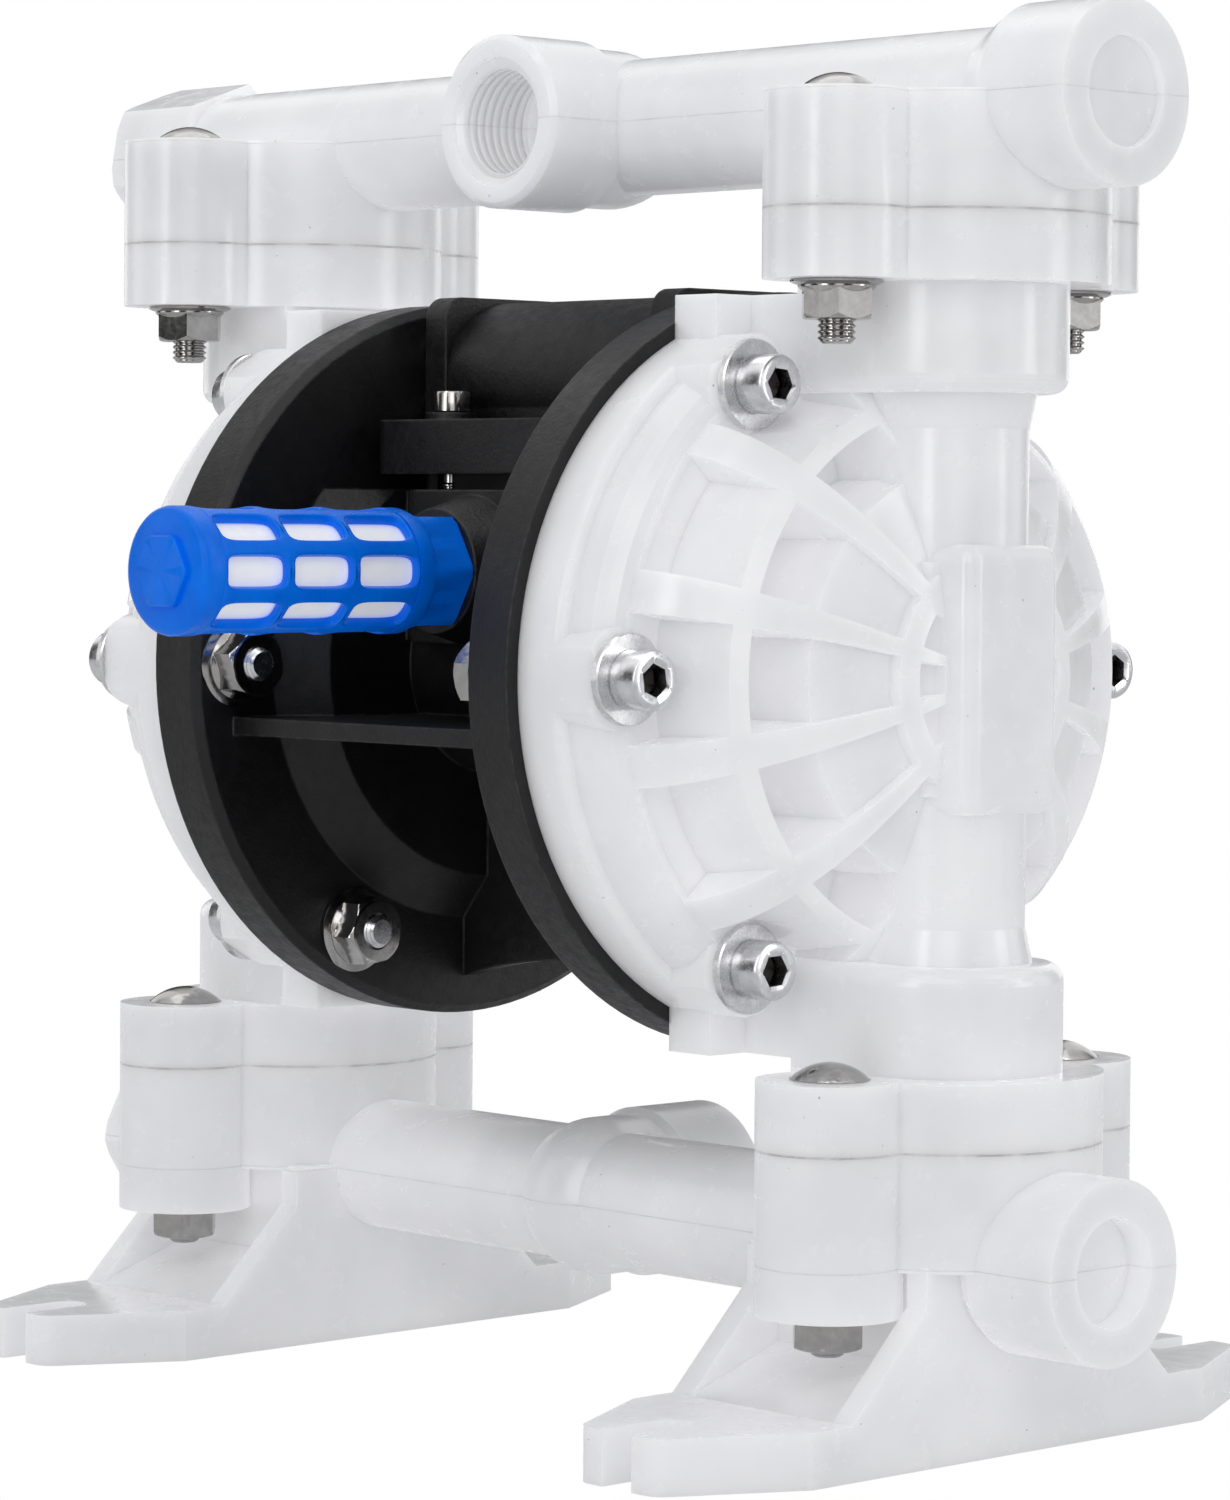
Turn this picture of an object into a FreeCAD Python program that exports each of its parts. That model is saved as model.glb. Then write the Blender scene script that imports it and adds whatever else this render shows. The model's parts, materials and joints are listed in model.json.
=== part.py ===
import FreeCAD, Part
import math
import os

from FreeCAD import Vector

# Air operated double diaphragm pump with half inch ports and a plastic body, in millimetres.
# +X runs along the diaphragm shaft, -Y faces the outlet port and the muffler, +Z is up.
# Every shape is drawn about the middle of the shaft. save() lifts it so that the feet rest
# on z = 0, and the origin is the middle of the four foot slots.

# Overall layout
shaft_height = 129.3            # shaft axis above the floor
column_x = 85.7                 # valve columns, each side of the middle
joint_x = 47.0                  # joint between the centre block and each cover
joint_z = 77.6                  # joint between each cover and the manifolds
tube_z = 96.6                   # manifold tube axis, above and below the shaft axis

# Clearances
seat_gap = 0.2                  # loose piece over its seat
hole_gap = 0.3                  # screw in its hole
fit_gap = 0.03                  # pressed or screwed piece in its bore
running_gap = 0.05              # sliding piece in its bore
spot_gap = 0.6                  # washer inside its spot face

# M6 fasteners
bolt_r = 3.0
nut_flats = 11.2
nut_height = 5.6
flange_nut_height = 6.6
flange_nut_r = 7.8
flange_nut_rim = 0.9
flange_nut_cone = 0.9
cap_head_r = 5.0
cap_head_height = 6.0
cap_head_socket_flats = 5.0
cap_head_socket_depth = 3.2
carriage_r = 3.2                # bolts of the manifold flanges
carriage_past_nut = 4.0         # upper bolts; the lower ones end level with their nuts
dome_head_r = 6.8
dome_head_height = 2.9
washer_r = 7.7
washer_thickness = 1.6
thread_past_nut = 1.2
nut_turn_deg = -13.0            # turn of the nuts on the upright bolts

# Outer covers
cover_r = 63.5
cover_rim_x = 57.0              # face of the rim
cover_face_x = 65.2             # raised ring inside the rim
cover_ring_r = 55.0             # foot of the slope up to the raised ring
cover_tab_half = 28.0           # flat tab at the top and bottom of the rim
cover_tab_z = 64.5
cover_rim_round = 2.0
cover_screw_pcd = 113.2
cover_screw_count = 6
screw_boss_r = 8.6
screw_seat_x = 65.5
dome_base_x = 60.0              # centre of the elliptical dome
dome_rise = 36.5
dome_r = 57.0
fin_count = 12
fin_half_deg = 3.7
groove_floor_x = 58.0           # narrow groove between the raised ring and the dome
groove_r = 53.5
outer_wall_base_r = 50.5
outer_wall_top_r = 47.2
outer_wall_top_x = 80.4
pocket_outer_r = 44.8           # deep pocket ring between the fins
pocket_inner_r = 35.0
pocket_floor_x = 70.0
fin_relief = 2.2                # fins stand this far out of the dome inside the pockets
relief_inner_r = 21.0
nose_outer_r = 17.2             # shallow pocket ring around the hub
nose_inner_r = 12.0
nose_floor_x = 90.0
chamber_r = 45.0                # liquid chamber
chamber_depth = 28.5
hub_front_x = 100.6             # flat pad on the front of the column
hub_half_y = 11.5
hub_half_z = 22.5
hub_round = 3.0

# Valve columns
column_r = 12.9
column_flare_r = 14.2
column_flare_height = 6.0
column_bore_r = 9.5
housing_r = 19.5
housing_z = 47.8                # inner end of the valve housings
housing_round = 3.0
flange_disc_r = 26.4
flange_lobe_r = 12.4
flange_bolt_y = 28.25
flange_thickness = 11.6
valve_bore_r = 15.6
valve_floor_z = 52.0            # shoulder that ends the valve bore

# Ball valves
ball_r = 9.5
ball_lift = 4.0
ball_guide_gap = 0.7
ball_over_seat = 4.0            # ball centre above the top of its seat
seat_height = 5.0
seat_bore_r = 7.0
guide_width = 3.0
stop_half_width = 1.4
stop_bar_height = 4.0
o_ring_r = 17.9
o_ring_section_r = 1.0
o_ring_groove_width = 2.6

# Manifolds
tube_r = 12.2
tube_bore_r = 8.5
collar_r = 15.6
collar_start = 105.0
collar_cone = 6.5
collar_end = 123.5
blind_recess_r = 9.2
outlet_recess_depth = 1.6
inlet_recess_depth = 5.0
port_face_y = 27.5
port_collar_r = 15.4
port_collar_length = 19.0
port_body_r = 14.3
port_thread_r = 9.32            # minor radius of the half inch pipe thread
port_thread_length = 16.0
port_mouth_r = 11.4
port_mouth_depth = 0.9
outlet_boss_height = 19.5
inlet_lobe_height = 27.4
inlet_disc_height = 19.6
cap_flats = 26.0                # hexagon cap on the left end of each tube
cap_start_x = 106.5
cap_length = 23.0
cap_bottom = 5.0
cap_bore_r = 10.4
cap_seal_thickness = 2.0

# Feet
foot_x = 81.0
foot_half_x = 21.0
foot_half_y = 71.5
foot_corner_y = 48.0
foot_tip_half = 8.75
foot_thickness = 9.2
foot_slot_half = 3.4
foot_slot_depth = 12.0
foot_wall = 4.5
foot_crest_y = 21.8             # top of the sloping side walls
foot_crest_z = 103.0
foot_toe_y = 39.0               # bottom of the sloping side walls
foot_recess_back_y = 18.5
foot_recess_back_z = 113.0
foot_core_half_y = 34.0
foot_core_height = 7.0
foot_tip_chamfer = 4.0

# Centre block
disc_r = 66.0
disc_inner_x = 36.0
disc_rim_round = 1.5
bowl_r = 48.0
bowl_floor_x = 29.5
bowl_floor_r = 40.0
air_chamber_r = 44.0
air_chamber_floor_r = 26.0
air_chamber_step_r = 29.0       # radius beside the inner face of the disc
air_chamber_step = 2.5
air_chamber_floor_x = 33.0
barrel_r = 21.0
block_half_x = 24.0
block_half_y = 26.0
block_bottom_z = 4.0
block_top_z = 31.3
nose_block_half_x = 15.5
muffler_face_y = 32.6
muffler_z = 17.0
muffler_ring_r = 11.0
muffler_ring_height = 8.5
muffler_ring_foot_r = 13.4
insert_r = 4.2                  # moulded-in insert of an upper cover screw
insert_length = 7.5
shelf_y = 57.0
shelf_top_z = -9.6
shelf_thickness = 3.2
keel_thickness = 3.4
keel_end_z = -59.0
keel_middle_z = -54.0
air_port_r = 5.72               # minor radius of the quarter inch pipe thread
air_port_length = 12.0
air_boss_r = 10.5
air_boss_y = 35.0
passage_r = 2.5
chamber_port_x = 12.0
chamber_port_z = 23.0
supply_port_y = 20.0

# Diaphragms, shaft and plates
rim_thickness = 3.0
diaphragm_r = 52.0
rim_inner_r = 45.0
diaphragm_thickness = 3.0
diaphragm_bulge = 4.0
plate_r = 27.0
inner_plate_thickness = 3.0
outer_plate_thickness = 3.5
plate_edge = 1.5
shaft_r = 6.0
stud_r = 4.0
stud_length = 15.0
shaft_nut_flats = 13.0
shaft_nut_height = 6.5
shaft_stroke = 4.0              # each way from the middle
bush_r = 9.0
bush_length = 10.0
seal_length = 2.6

# Pilot rod
pilot_y = 14.0
pilot_z = 12.0
pilot_r = 3.0
pilot_bush_r = 5.0
pilot_bush_length = 9.0
pilot_ratio = 0.6               # pilot travel for each millimetre of shaft travel
pilot_end_gap = 0.3             # left between rod and plate at the end of the stroke

# Air valve
gasket_thickness = 2.9
gasket_inset = 5.0
valve_base_half_x = 32.0
valve_base_half_y = 28.5
valve_base_thickness = 9.8
valve_base_round = 4.0
valve_barrel_r = 14.4
valve_barrel_z = 51.6
valve_barrel_half_x = 27.2
valve_cap_thickness = 5.6
valve_cap_half_y = 14.8
valve_cap_top_z = 66.8
valve_cap_round = 4.0
sleeve_r = 5.2
sleeve_bore_r = 3.8
spool_half_length = 19.0
spool_waist_r = 2.3
spool_travel = 3.0
spool_chamber_r = 4.4
spool_chamber_depth = 2.5
cap_ring_r = 6.2
cap_ring_section_r = 0.7
valve_screw_x = 20.0
valve_screw_y = 19.6
valve_screw_r = 2.0
valve_screw_head_r = 3.5
valve_screw_head_height = 4.0
valve_screw_socket_flats = 3.0
valve_screw_socket_depth = 2.0
valve_screw_boss_r = 4.6
valve_screw_boss_height = 1.4
valve_screw_depth = 9.0
cap_screw_y = 10.4
cap_screw_z = 5.0               # above and below the barrel axis
cap_screw_r = 1.5
cap_screw_head_r = 2.75
cap_screw_head_height = 2.2
cap_screw_length = 8.0

# Muffler
muffler_r = 11.0
muffler_length = 68.2
muffler_hex_flats = 18.9
muffler_hex_length = 8.1
muffler_wall = 1.9
muffler_thread_r = 8.0
muffler_thread_length = 12.0
muffler_bore_r = 5.0
muffler_cap = 4.6
window_rows = 8
window_columns = 3
window_pitch = 14.4
window_length = 12.7
window_first = 5.1              # first window, from the far end
window_half_deg = 15.6
window_round = 2.0
felt_gap = 0.15
muffler_boss_flats = 12.0
muffler_boss_height = 1.2
muffler_slot_width = 1.2

ORIGIN = Vector(0, 0, 0)
ALONG_X = Vector(1, 0, 0)
ALONG_Y = Vector(0, 1, 0)
ALONG_Z = Vector(0, 0, 1)


# Shape helpers

def cylinder_x(radius, start, end, y=0.0, z=0.0):
    return Part.makeCylinder(radius, end - start, Vector(start, y, z), ALONG_X)


def cylinder_y(radius, start, end, x=0.0, z=0.0):
    return Part.makeCylinder(radius, end - start, Vector(x, start, z), ALONG_Y)


def cylinder_z(radius, start, end, x=0.0, y=0.0):
    return Part.makeCylinder(radius, end - start, Vector(x, y, start), ALONG_Z)


def block(x_span, y_span, z_span):
    """Box between three pairs of coordinates."""
    corner = Vector(x_span[0], y_span[0], z_span[0])
    return Part.makeBox(x_span[1] - x_span[0], y_span[1] - y_span[0], z_span[1] - z_span[0], corner)


def face_of(points):
    """Flat face inside a closed polygon."""
    return Part.Face(Part.makePolygon(list(points) + [points[0]]))


def turned_x(profile, centre=ORIGIN):
    """Solid of revolution about X from (x, radius) points."""
    face = face_of([Vector(x, 0, radius) + centre for x, radius in profile])
    return face.revolve(centre, ALONG_X, 360)


def turned_y(profile, x=0.0, z=0.0):
    """Solid of revolution about Y from (y, radius) points."""
    face = face_of([Vector(x + radius, y, z) for y, radius in profile])
    return face.revolve(Vector(x, 0, z), ALONG_Y, 360)


def turned_z(profile, x=0.0, y=0.0):
    """Solid of revolution about Z from (radius, z) points."""
    face = face_of([Vector(x + radius, y, z) for radius, z in profile])
    return face.revolve(Vector(x, y, 0), ALONG_Z, 360)


def sector_x(profile, middle_deg, half_deg):
    """Part of a revolution about X. 0 degrees points to -Y and 90 degrees to +Z."""
    face = face_of([Vector(x, -radius, 0) for x, radius in profile])
    face.rotate(ORIGIN, ALONG_X, -(middle_deg + half_deg))
    return face.revolve(ORIGIN, ALONG_X, 2 * half_deg)


def hexagon(across_flats, centre, axis, first_deg=0.0):
    """Hexagonal face about a centre, square to X, Y or Z."""
    corner_r = across_flats / math.sqrt(3)
    points = []
    for index in range(6):
        angle = math.radians(first_deg + 60 * index)
        across = corner_r * math.cos(angle)
        up = corner_r * math.sin(angle)
        offset = {"x": Vector(0, across, up), "y": Vector(across, 0, up), "z": Vector(across, up, 0)}
        points.append(centre + offset[axis])
    return face_of(points)


def rounded(shape, radius, chosen):
    """Fillet the edges for which chosen(edge) is true."""
    return shape.makeFillet(radius, [edge for edge in shape.Edges if chosen(edge)])


def runs_along(edge, axis):
    """True for a straight edge parallel to an axis."""
    ends = [vertex.Point for vertex in edge.Vertexes]
    return len(ends) == 2 and (ends[1] - ends[0]).cross(axis).Length < 1e-6


def joined(first, *others):
    return first.multiFuse(list(others)).removeSplitter()


def mirrored(shape):
    """The same shape on the other side of the middle plane."""
    return shape.mirror(ORIGIN, ALONG_X)


def flipped(shape):
    """The same shape below the shaft axis."""
    return shape.mirror(ORIGIN, ALONG_Z)


def save(node, shape):
    lifted = shape.copy()
    lifted.translate(Vector(0, 0, shaft_height))
    lifted.exportStep("parts/" + node + ".step")


def on_circle(radius, angle_deg):
    """Y and Z of a point on a circle about the shaft, 0 degrees towards -Y."""
    angle = math.radians(angle_deg)
    return -radius * math.cos(angle), radius * math.sin(angle)


# Values worked out from the sizes above

flange_seat_z = joint_z - flange_thickness
screw_circle_r = cover_screw_pcd / 2
screw_angles = [360.0 / cover_screw_count * index for index in range(cover_screw_count)]
insert_angles = [angle for angle in screw_angles if 0 < angle < 180]
nut_angles = [angle for angle in screw_angles if angle not in insert_angles]
bolt_hole_r = bolt_r + hole_gap
carriage_hole_r = carriage_r + hole_gap
rim_half = rim_thickness / 2
diaphragm_back_x = joint_x - diaphragm_thickness / 2
diaphragm_front_x = joint_x + diaphragm_thickness / 2
inner_plate_x = diaphragm_back_x - inner_plate_thickness
outer_plate_x = diaphragm_front_x + outer_plate_thickness
outlet_seat_top = valve_floor_z + seat_height
outlet_ball_z = outlet_seat_top + ball_over_seat
inlet_seat_top = -joint_z + seat_height
inlet_ball_z = inlet_seat_top + ball_over_seat
outlet_stop_z = outlet_ball_z + ball_r + ball_lift + hole_gap
inlet_stop_z = inlet_ball_z + ball_r + ball_lift + hole_gap
insert_x = joint_x - rim_half - insert_length
pilot_end_x = inner_plate_x - shaft_stroke * (1 - pilot_ratio) - pilot_end_gap
valve_base_z = block_top_z + gasket_thickness
valve_base_top = valve_base_z + valve_base_thickness
valve_cap_end_x = valve_barrel_half_x + valve_cap_thickness
muffler_end_y = -muffler_face_y - muffler_length
cap_end_x = cap_start_x + cap_length
cap_seal_x = cap_end_x - cap_bottom - cap_seal_thickness


# Covers

def flange_plan(low_z, high_z, lobe_low_z, lobe_high_z):
    """Valve flange in plan: a disc about the column with a lobe at each bolt."""
    shape = cylinder_z(flange_disc_r, low_z, high_z, column_x)
    for side in (-1, 1):
        lobe = cylinder_z(flange_lobe_r, lobe_low_z, lobe_high_z, column_x, side * flange_bolt_y)
        shape = shape.fuse(lobe)
    return shape


def cover_rim():
    """Round rim with a slope up to the raised ring, and flat tabs at the top and bottom."""
    steps = 6
    profile = [(joint_x, 0), (joint_x, cover_r)]
    for index in range(steps + 1):
        angle = math.pi / 2 * index / steps
        x = cover_rim_x - cover_rim_round + cover_rim_round * math.sin(angle)
        profile.append((x, cover_r - cover_rim_round + cover_rim_round * math.cos(angle)))
    slope_rise = cover_face_x - cover_rim_x
    slope_run = cover_r - cover_rim_round - cover_ring_r
    for index in range(1, steps + 1):
        angle = math.pi / 2 * index / steps
        profile.append((cover_rim_x + slope_rise * math.sin(angle),
                        cover_ring_r + slope_run * math.cos(angle)))
    profile.append((cover_face_x, 0))
    rim = turned_x(profile)
    tab = block((joint_x, cover_rim_x), (-cover_tab_half, cover_tab_half), (0, cover_tab_z))
    return joined(rim, tab, flipped(tab))


def dome():
    """Elliptical dome cut into rings of pockets by radial fins."""
    ellipse = Part.Ellipse(Vector(dome_base_x, 0, dome_r), Vector(dome_base_x + dome_rise, 0, 0),
                           Vector(dome_base_x, 0, 0))
    crest = Part.Edge(Part.ArcOfEllipse(ellipse, 0, math.pi / 2))
    ends = sorted((vertex.Point for vertex in crest.Vertexes), key=lambda point: point.z)
    foot = Vector(dome_base_x, 0, 0)
    outline = Part.Wire([Part.makeLine(foot, ends[0]), crest, Part.makeLine(ends[1], foot)])
    shape = Part.Face(outline).revolve(ORIGIN, ALONG_X, 360)
    far_x = dome_base_x + 2 * dome_rise
    far_r = dome_r + cover_rim_round
    outside = [(groove_floor_x, groove_r), (cover_face_x, groove_r), (cover_face_x, far_r),
               (far_x, far_r), (far_x, outer_wall_top_r), (outer_wall_top_x, outer_wall_top_r),
               (groove_floor_x, outer_wall_base_r)]
    pocket = [(pocket_floor_x, pocket_inner_r), (pocket_floor_x, pocket_outer_r),
              (far_x, pocket_outer_r), (far_x, pocket_inner_r)]
    nose = [(nose_floor_x, nose_inner_r), (nose_floor_x, nose_outer_r),
            (far_x, nose_outer_r), (far_x, nose_inner_r)]
    relief = []
    relief_steps = 5
    for index in range(relief_steps + 1):
        radius = pocket_inner_r + (relief_inner_r - pocket_inner_r) * index / relief_steps
        crest_x = dome_base_x + dome_rise * math.sqrt(1 - (radius / dome_r) ** 2)
        relief.append((crest_x - fin_relief, radius))
    relief += [(far_x, relief_inner_r), (far_x, pocket_inner_r)]
    pitch = 360.0 / fin_count
    cuts = []
    for index in range(fin_count):
        for profile in (outside, pocket, relief, nose):
            cuts.append(sector_x(profile, index * pitch, pitch / 2 - fin_half_deg))
    return shape, cuts


def screw_bosses():
    """Round seats for the cover screws, trimmed to the rim."""
    edge = 1.0
    profile = [(joint_x, 0), (joint_x, screw_boss_r), (screw_seat_x - edge, screw_boss_r),
               (screw_seat_x, screw_boss_r - edge), (screw_seat_x, 0)]
    bosses = []
    for angle in screw_angles:
        y, z = on_circle(screw_circle_r, angle)
        bosses.append(turned_x(profile, Vector(0, y, z)).common(cylinder_x(cover_r, joint_x, screw_seat_x)))
    return bosses


def column():
    """Upright tube with a wider valve housing at each end."""
    corner_r = housing_r - housing_round
    steps = 6
    profile = [(0, 0), (column_r, 0), (column_r, housing_z - column_flare_height)]
    profile += [(column_flare_r, housing_z)]
    for index in range(steps + 1):
        angle = math.pi / 2 * index / steps
        profile.append((corner_r + housing_round * math.sin(angle),
                        housing_z + housing_round * (1 - math.cos(angle))))
    profile += [(housing_r, flange_seat_z + 1), (0, flange_seat_z + 1)]
    upper = turned_z(profile, column_x)
    return joined(upper, flipped(upper))


def housing_web():
    """Block between the rim tab and the valve housing, as wide as the housing."""
    web = block((joint_x, column_x), (-housing_r, housing_r), (housing_z, cover_tab_z))
    low_edges = lambda edge: runs_along(edge, ALONG_X) and edge.CenterOfMass.z < housing_z + 1
    web = rounded(web, housing_round, low_edges)
    under_flange_x = column_x - math.sqrt(flange_disc_r ** 2 - housing_r ** 2)
    return web.fuse(block((under_flange_x, column_x), (-housing_r, housing_r),
                          (housing_z + housing_round, flange_seat_z + 1)))


def hub():
    """Pad on the front of the column where the fins meet."""
    pad = block((column_x - column_r, hub_front_x), (-hub_half_y, hub_half_y), (-hub_half_z, hub_half_z))
    front = lambda edge: edge.CenterOfMass.x > hub_front_x - 0.01 or (
        runs_along(edge, ALONG_X) and abs(edge.CenterOfMass.y) > 1)
    pad = rounded(pad, hub_round, front)
    waist = cylinder_z(column_flare_r, -hub_half_z + hub_round, hub_half_z - hub_round, column_x)
    return joined(pad, waist)


def guide_ribs(bottom, top):
    """Four upright ribs that keep a ball in the middle of its bore."""
    ribs = []
    inner = ball_r + ball_guide_gap
    for index in range(4):
        rib = block((inner, valve_bore_r + 1), (-guide_width / 2, guide_width / 2), (bottom, top))
        rib.rotate(ORIGIN, ALONG_Z, 45 + 90 * index)
        rib.translate(Vector(column_x, 0, 0))
        ribs.append(rib)
    return ribs


def stop_cross(bottom, top, radius):
    """Two crossed bars that stop a lifted ball."""
    along_x = block((column_x - radius, column_x + radius), (-stop_half_width, stop_half_width),
                    (bottom, top))
    along_y = block((column_x - stop_half_width, column_x + stop_half_width), (-radius, radius),
                    (bottom, top))
    return along_x.fuse(along_y)


def chamber():
    """Liquid side of the diaphragm: an elliptical hollow that opens into the column."""
    ellipse = Part.Ellipse(Vector(joint_x, 0, chamber_r), Vector(joint_x + chamber_depth, 0, 0),
                           Vector(joint_x, 0, 0))
    crest = Part.Edge(Part.ArcOfEllipse(ellipse, 0, math.pi / 2))
    ends = sorted((vertex.Point for vertex in crest.Vertexes), key=lambda point: point.z)
    foot = Vector(joint_x, 0, 0)
    outline = Part.Wire([Part.makeLine(foot, ends[0]), crest, Part.makeLine(ends[1], foot)])
    hollow = Part.Face(outline).revolve(ORIGIN, ALONG_X, 360)
    neck = cylinder_x(column_bore_r + 1, joint_x, column_x)
    rim = cylinder_x(diaphragm_r + hole_gap, joint_x, joint_x + rim_half)
    return [hollow, neck, rim]


def o_ring_groove(outer_z, inner_z):
    """Ring groove in the face of a valve flange."""
    half = o_ring_groove_width / 2
    low, high = sorted((outer_z, inner_z))
    return cylinder_z(o_ring_r + half, low, high, column_x).cut(
        cylinder_z(o_ring_r - half, low, high, column_x))


def right_cover():
    shell, cuts = dome()
    shell = shell.fuse(cover_rim())
    shell = shell.cut(Part.makeCompound(cuts))
    flange = flange_plan(flange_seat_z, joint_z, flange_seat_z, joint_z)
    web = housing_web()
    shell = joined(shell, column(), web, flipped(web), hub(), flange, flipped(flange), *screw_bosses())
    spot_x = cover_rim_x + dome_rise
    ring_depth = 2 * o_ring_section_r + running_gap
    cuts = chamber()
    cuts.append(cylinder_z(column_bore_r, -valve_floor_z - 1, valve_floor_z + 1, column_x))
    cuts.append(cylinder_z(valve_bore_r, valve_floor_z, joint_z + 1, column_x))
    cuts.append(cylinder_z(valve_bore_r, -joint_z - 1, -valve_floor_z, column_x))
    cuts.append(o_ring_groove(joint_z + 1, joint_z - ring_depth))
    cuts.append(o_ring_groove(-joint_z - 1, -joint_z + ring_depth))
    for side in (-1, 1):
        y = side * flange_bolt_y
        cuts.append(cylinder_z(carriage_hole_r, flange_seat_z - 1, joint_z + 1, column_x, y))
        cuts.append(cylinder_z(carriage_hole_r, -joint_z - 1, -flange_seat_z + 1, column_x, y))
        room_r = flange_nut_r + spot_gap
        room_height = flange_nut_height + carriage_past_nut
        cuts.append(cylinder_z(room_r, flange_seat_z - room_height, flange_seat_z, column_x, y))
        cuts.append(cylinder_z(room_r, -flange_seat_z, -flange_seat_z + room_height, column_x, y))
    for angle in screw_angles:
        y, z = on_circle(screw_circle_r, angle)
        cuts.append(cylinder_x(bolt_hole_r, joint_x - 1, spot_x, y, z))
        cuts.append(cylinder_x(washer_r + spot_gap, screw_seat_x, spot_x, y, z))
    shell = shell.cut(Part.makeCompound(cuts))
    ribs = guide_ribs(outlet_seat_top, joint_z - 3) + guide_ribs(inlet_seat_top, -valve_floor_z)
    ribs = [rib.common(cylinder_z(valve_bore_r + 0.5, -joint_z, joint_z, column_x)) for rib in ribs]
    stop = stop_cross(inlet_stop_z, inlet_stop_z + stop_bar_height, valve_bore_r - 2)
    return joined(shell, stop, *ribs)


# Manifolds

def tube_run():
    """Manifold tube with a wider collar at the right end and a cap thread at the left end."""
    neck_r = cap_bore_r - fit_gap
    profile = [(-cap_seal_x, 0), (-cap_seal_x, neck_r), (-cap_start_x, neck_r), (-cap_start_x, tube_r),
               (collar_start - collar_cone, tube_r), (collar_start, collar_r), (collar_end, collar_r),
               (collar_end, 0)]
    return turned_x(profile, Vector(0, 0, tube_z))


def cap_clearance():
    """Room that the cap needs to turn beside the valve flange."""
    corner_r = cap_flats / math.sqrt(3)
    outer = cylinder_x(corner_r + spot_gap, -cap_end_x, -cap_start_x, 0, tube_z)
    return outer.cut(cylinder_x(cap_bore_r - fit_gap, -cap_end_x - 1, -cap_start_x + 1, 0, tube_z))


def port():
    """Threaded branch in the middle of the tube, towards -Y."""
    collar_back = -port_face_y + port_collar_length
    edge = 1.0
    profile = [(-port_face_y, 0), (-port_face_y, port_collar_r - edge), (-port_face_y + edge, port_collar_r),
               (collar_back - edge, port_collar_r), (collar_back, port_body_r), (0, port_body_r), (0, 0)]
    return joined(turned_y(profile, 0, tube_z), Part.makeSphere(port_body_r, Vector(0, 0, tube_z)))


def port_bore():
    """Thread bore of the branch with a wider mouth, down to the middle of the tube."""
    mouth = -port_face_y + port_mouth_depth
    thread_end = -port_face_y + port_thread_length
    profile = [(-port_face_y - 1, 0), (-port_face_y - 1, port_mouth_r), (mouth, port_mouth_r),
               (mouth + 1, port_thread_r), (thread_end, port_thread_r),
               (thread_end, tube_bore_r), (0, tube_bore_r), (0, 0)]
    return turned_y(profile, 0, tube_z)


def manifold_bores(recess_depth):
    """Tube bore, blind right end, room for the cap and the threaded port."""
    bore_end = collar_end - recess_depth - 8
    bore = cylinder_x(tube_bore_r, -cap_seal_x - 1, bore_end, 0, tube_z)
    recess = cylinder_x(blind_recess_r, collar_end - recess_depth, collar_end + 1, 0, tube_z)
    return [bore, recess, cap_clearance(), port_bore()]


def outlet_manifold():
    boss_top = joint_z + outlet_boss_height
    bosses = flange_plan(joint_z, boss_top, joint_z, boss_top)
    shape = joined(tube_run(), port(), bosses, mirrored(bosses))
    cuts = manifold_bores(outlet_recess_depth)
    for side in (-1, 1):
        opening = cylinder_z(valve_bore_r - 1.5, joint_z - 1, tube_z - 2, side * column_x)
        neck = cylinder_z(tube_bore_r, joint_z - 1, tube_z, side * column_x)
        cuts += [opening, neck]
        for bolt_side in (-1, 1):
            y = bolt_side * flange_bolt_y
            cuts.append(cylinder_z(carriage_hole_r, joint_z - 1, boss_top + 1, side * column_x, y))
    shape = shape.cut(Part.makeCompound(cuts))
    stop = stop_cross(outlet_stop_z, outlet_stop_z + stop_bar_height, valve_bore_r - 2)
    ring = cylinder_z(valve_bore_r - 1, joint_z, outlet_stop_z + stop_bar_height, column_x)
    stop = stop.common(cylinder_z(valve_bore_r - 2, outlet_stop_z, joint_z, column_x)).fuse(
        stop_cross(joint_z, outlet_stop_z + stop_bar_height, valve_bore_r + 1).common(ring))
    return joined(shape, stop, mirrored(stop))


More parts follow.
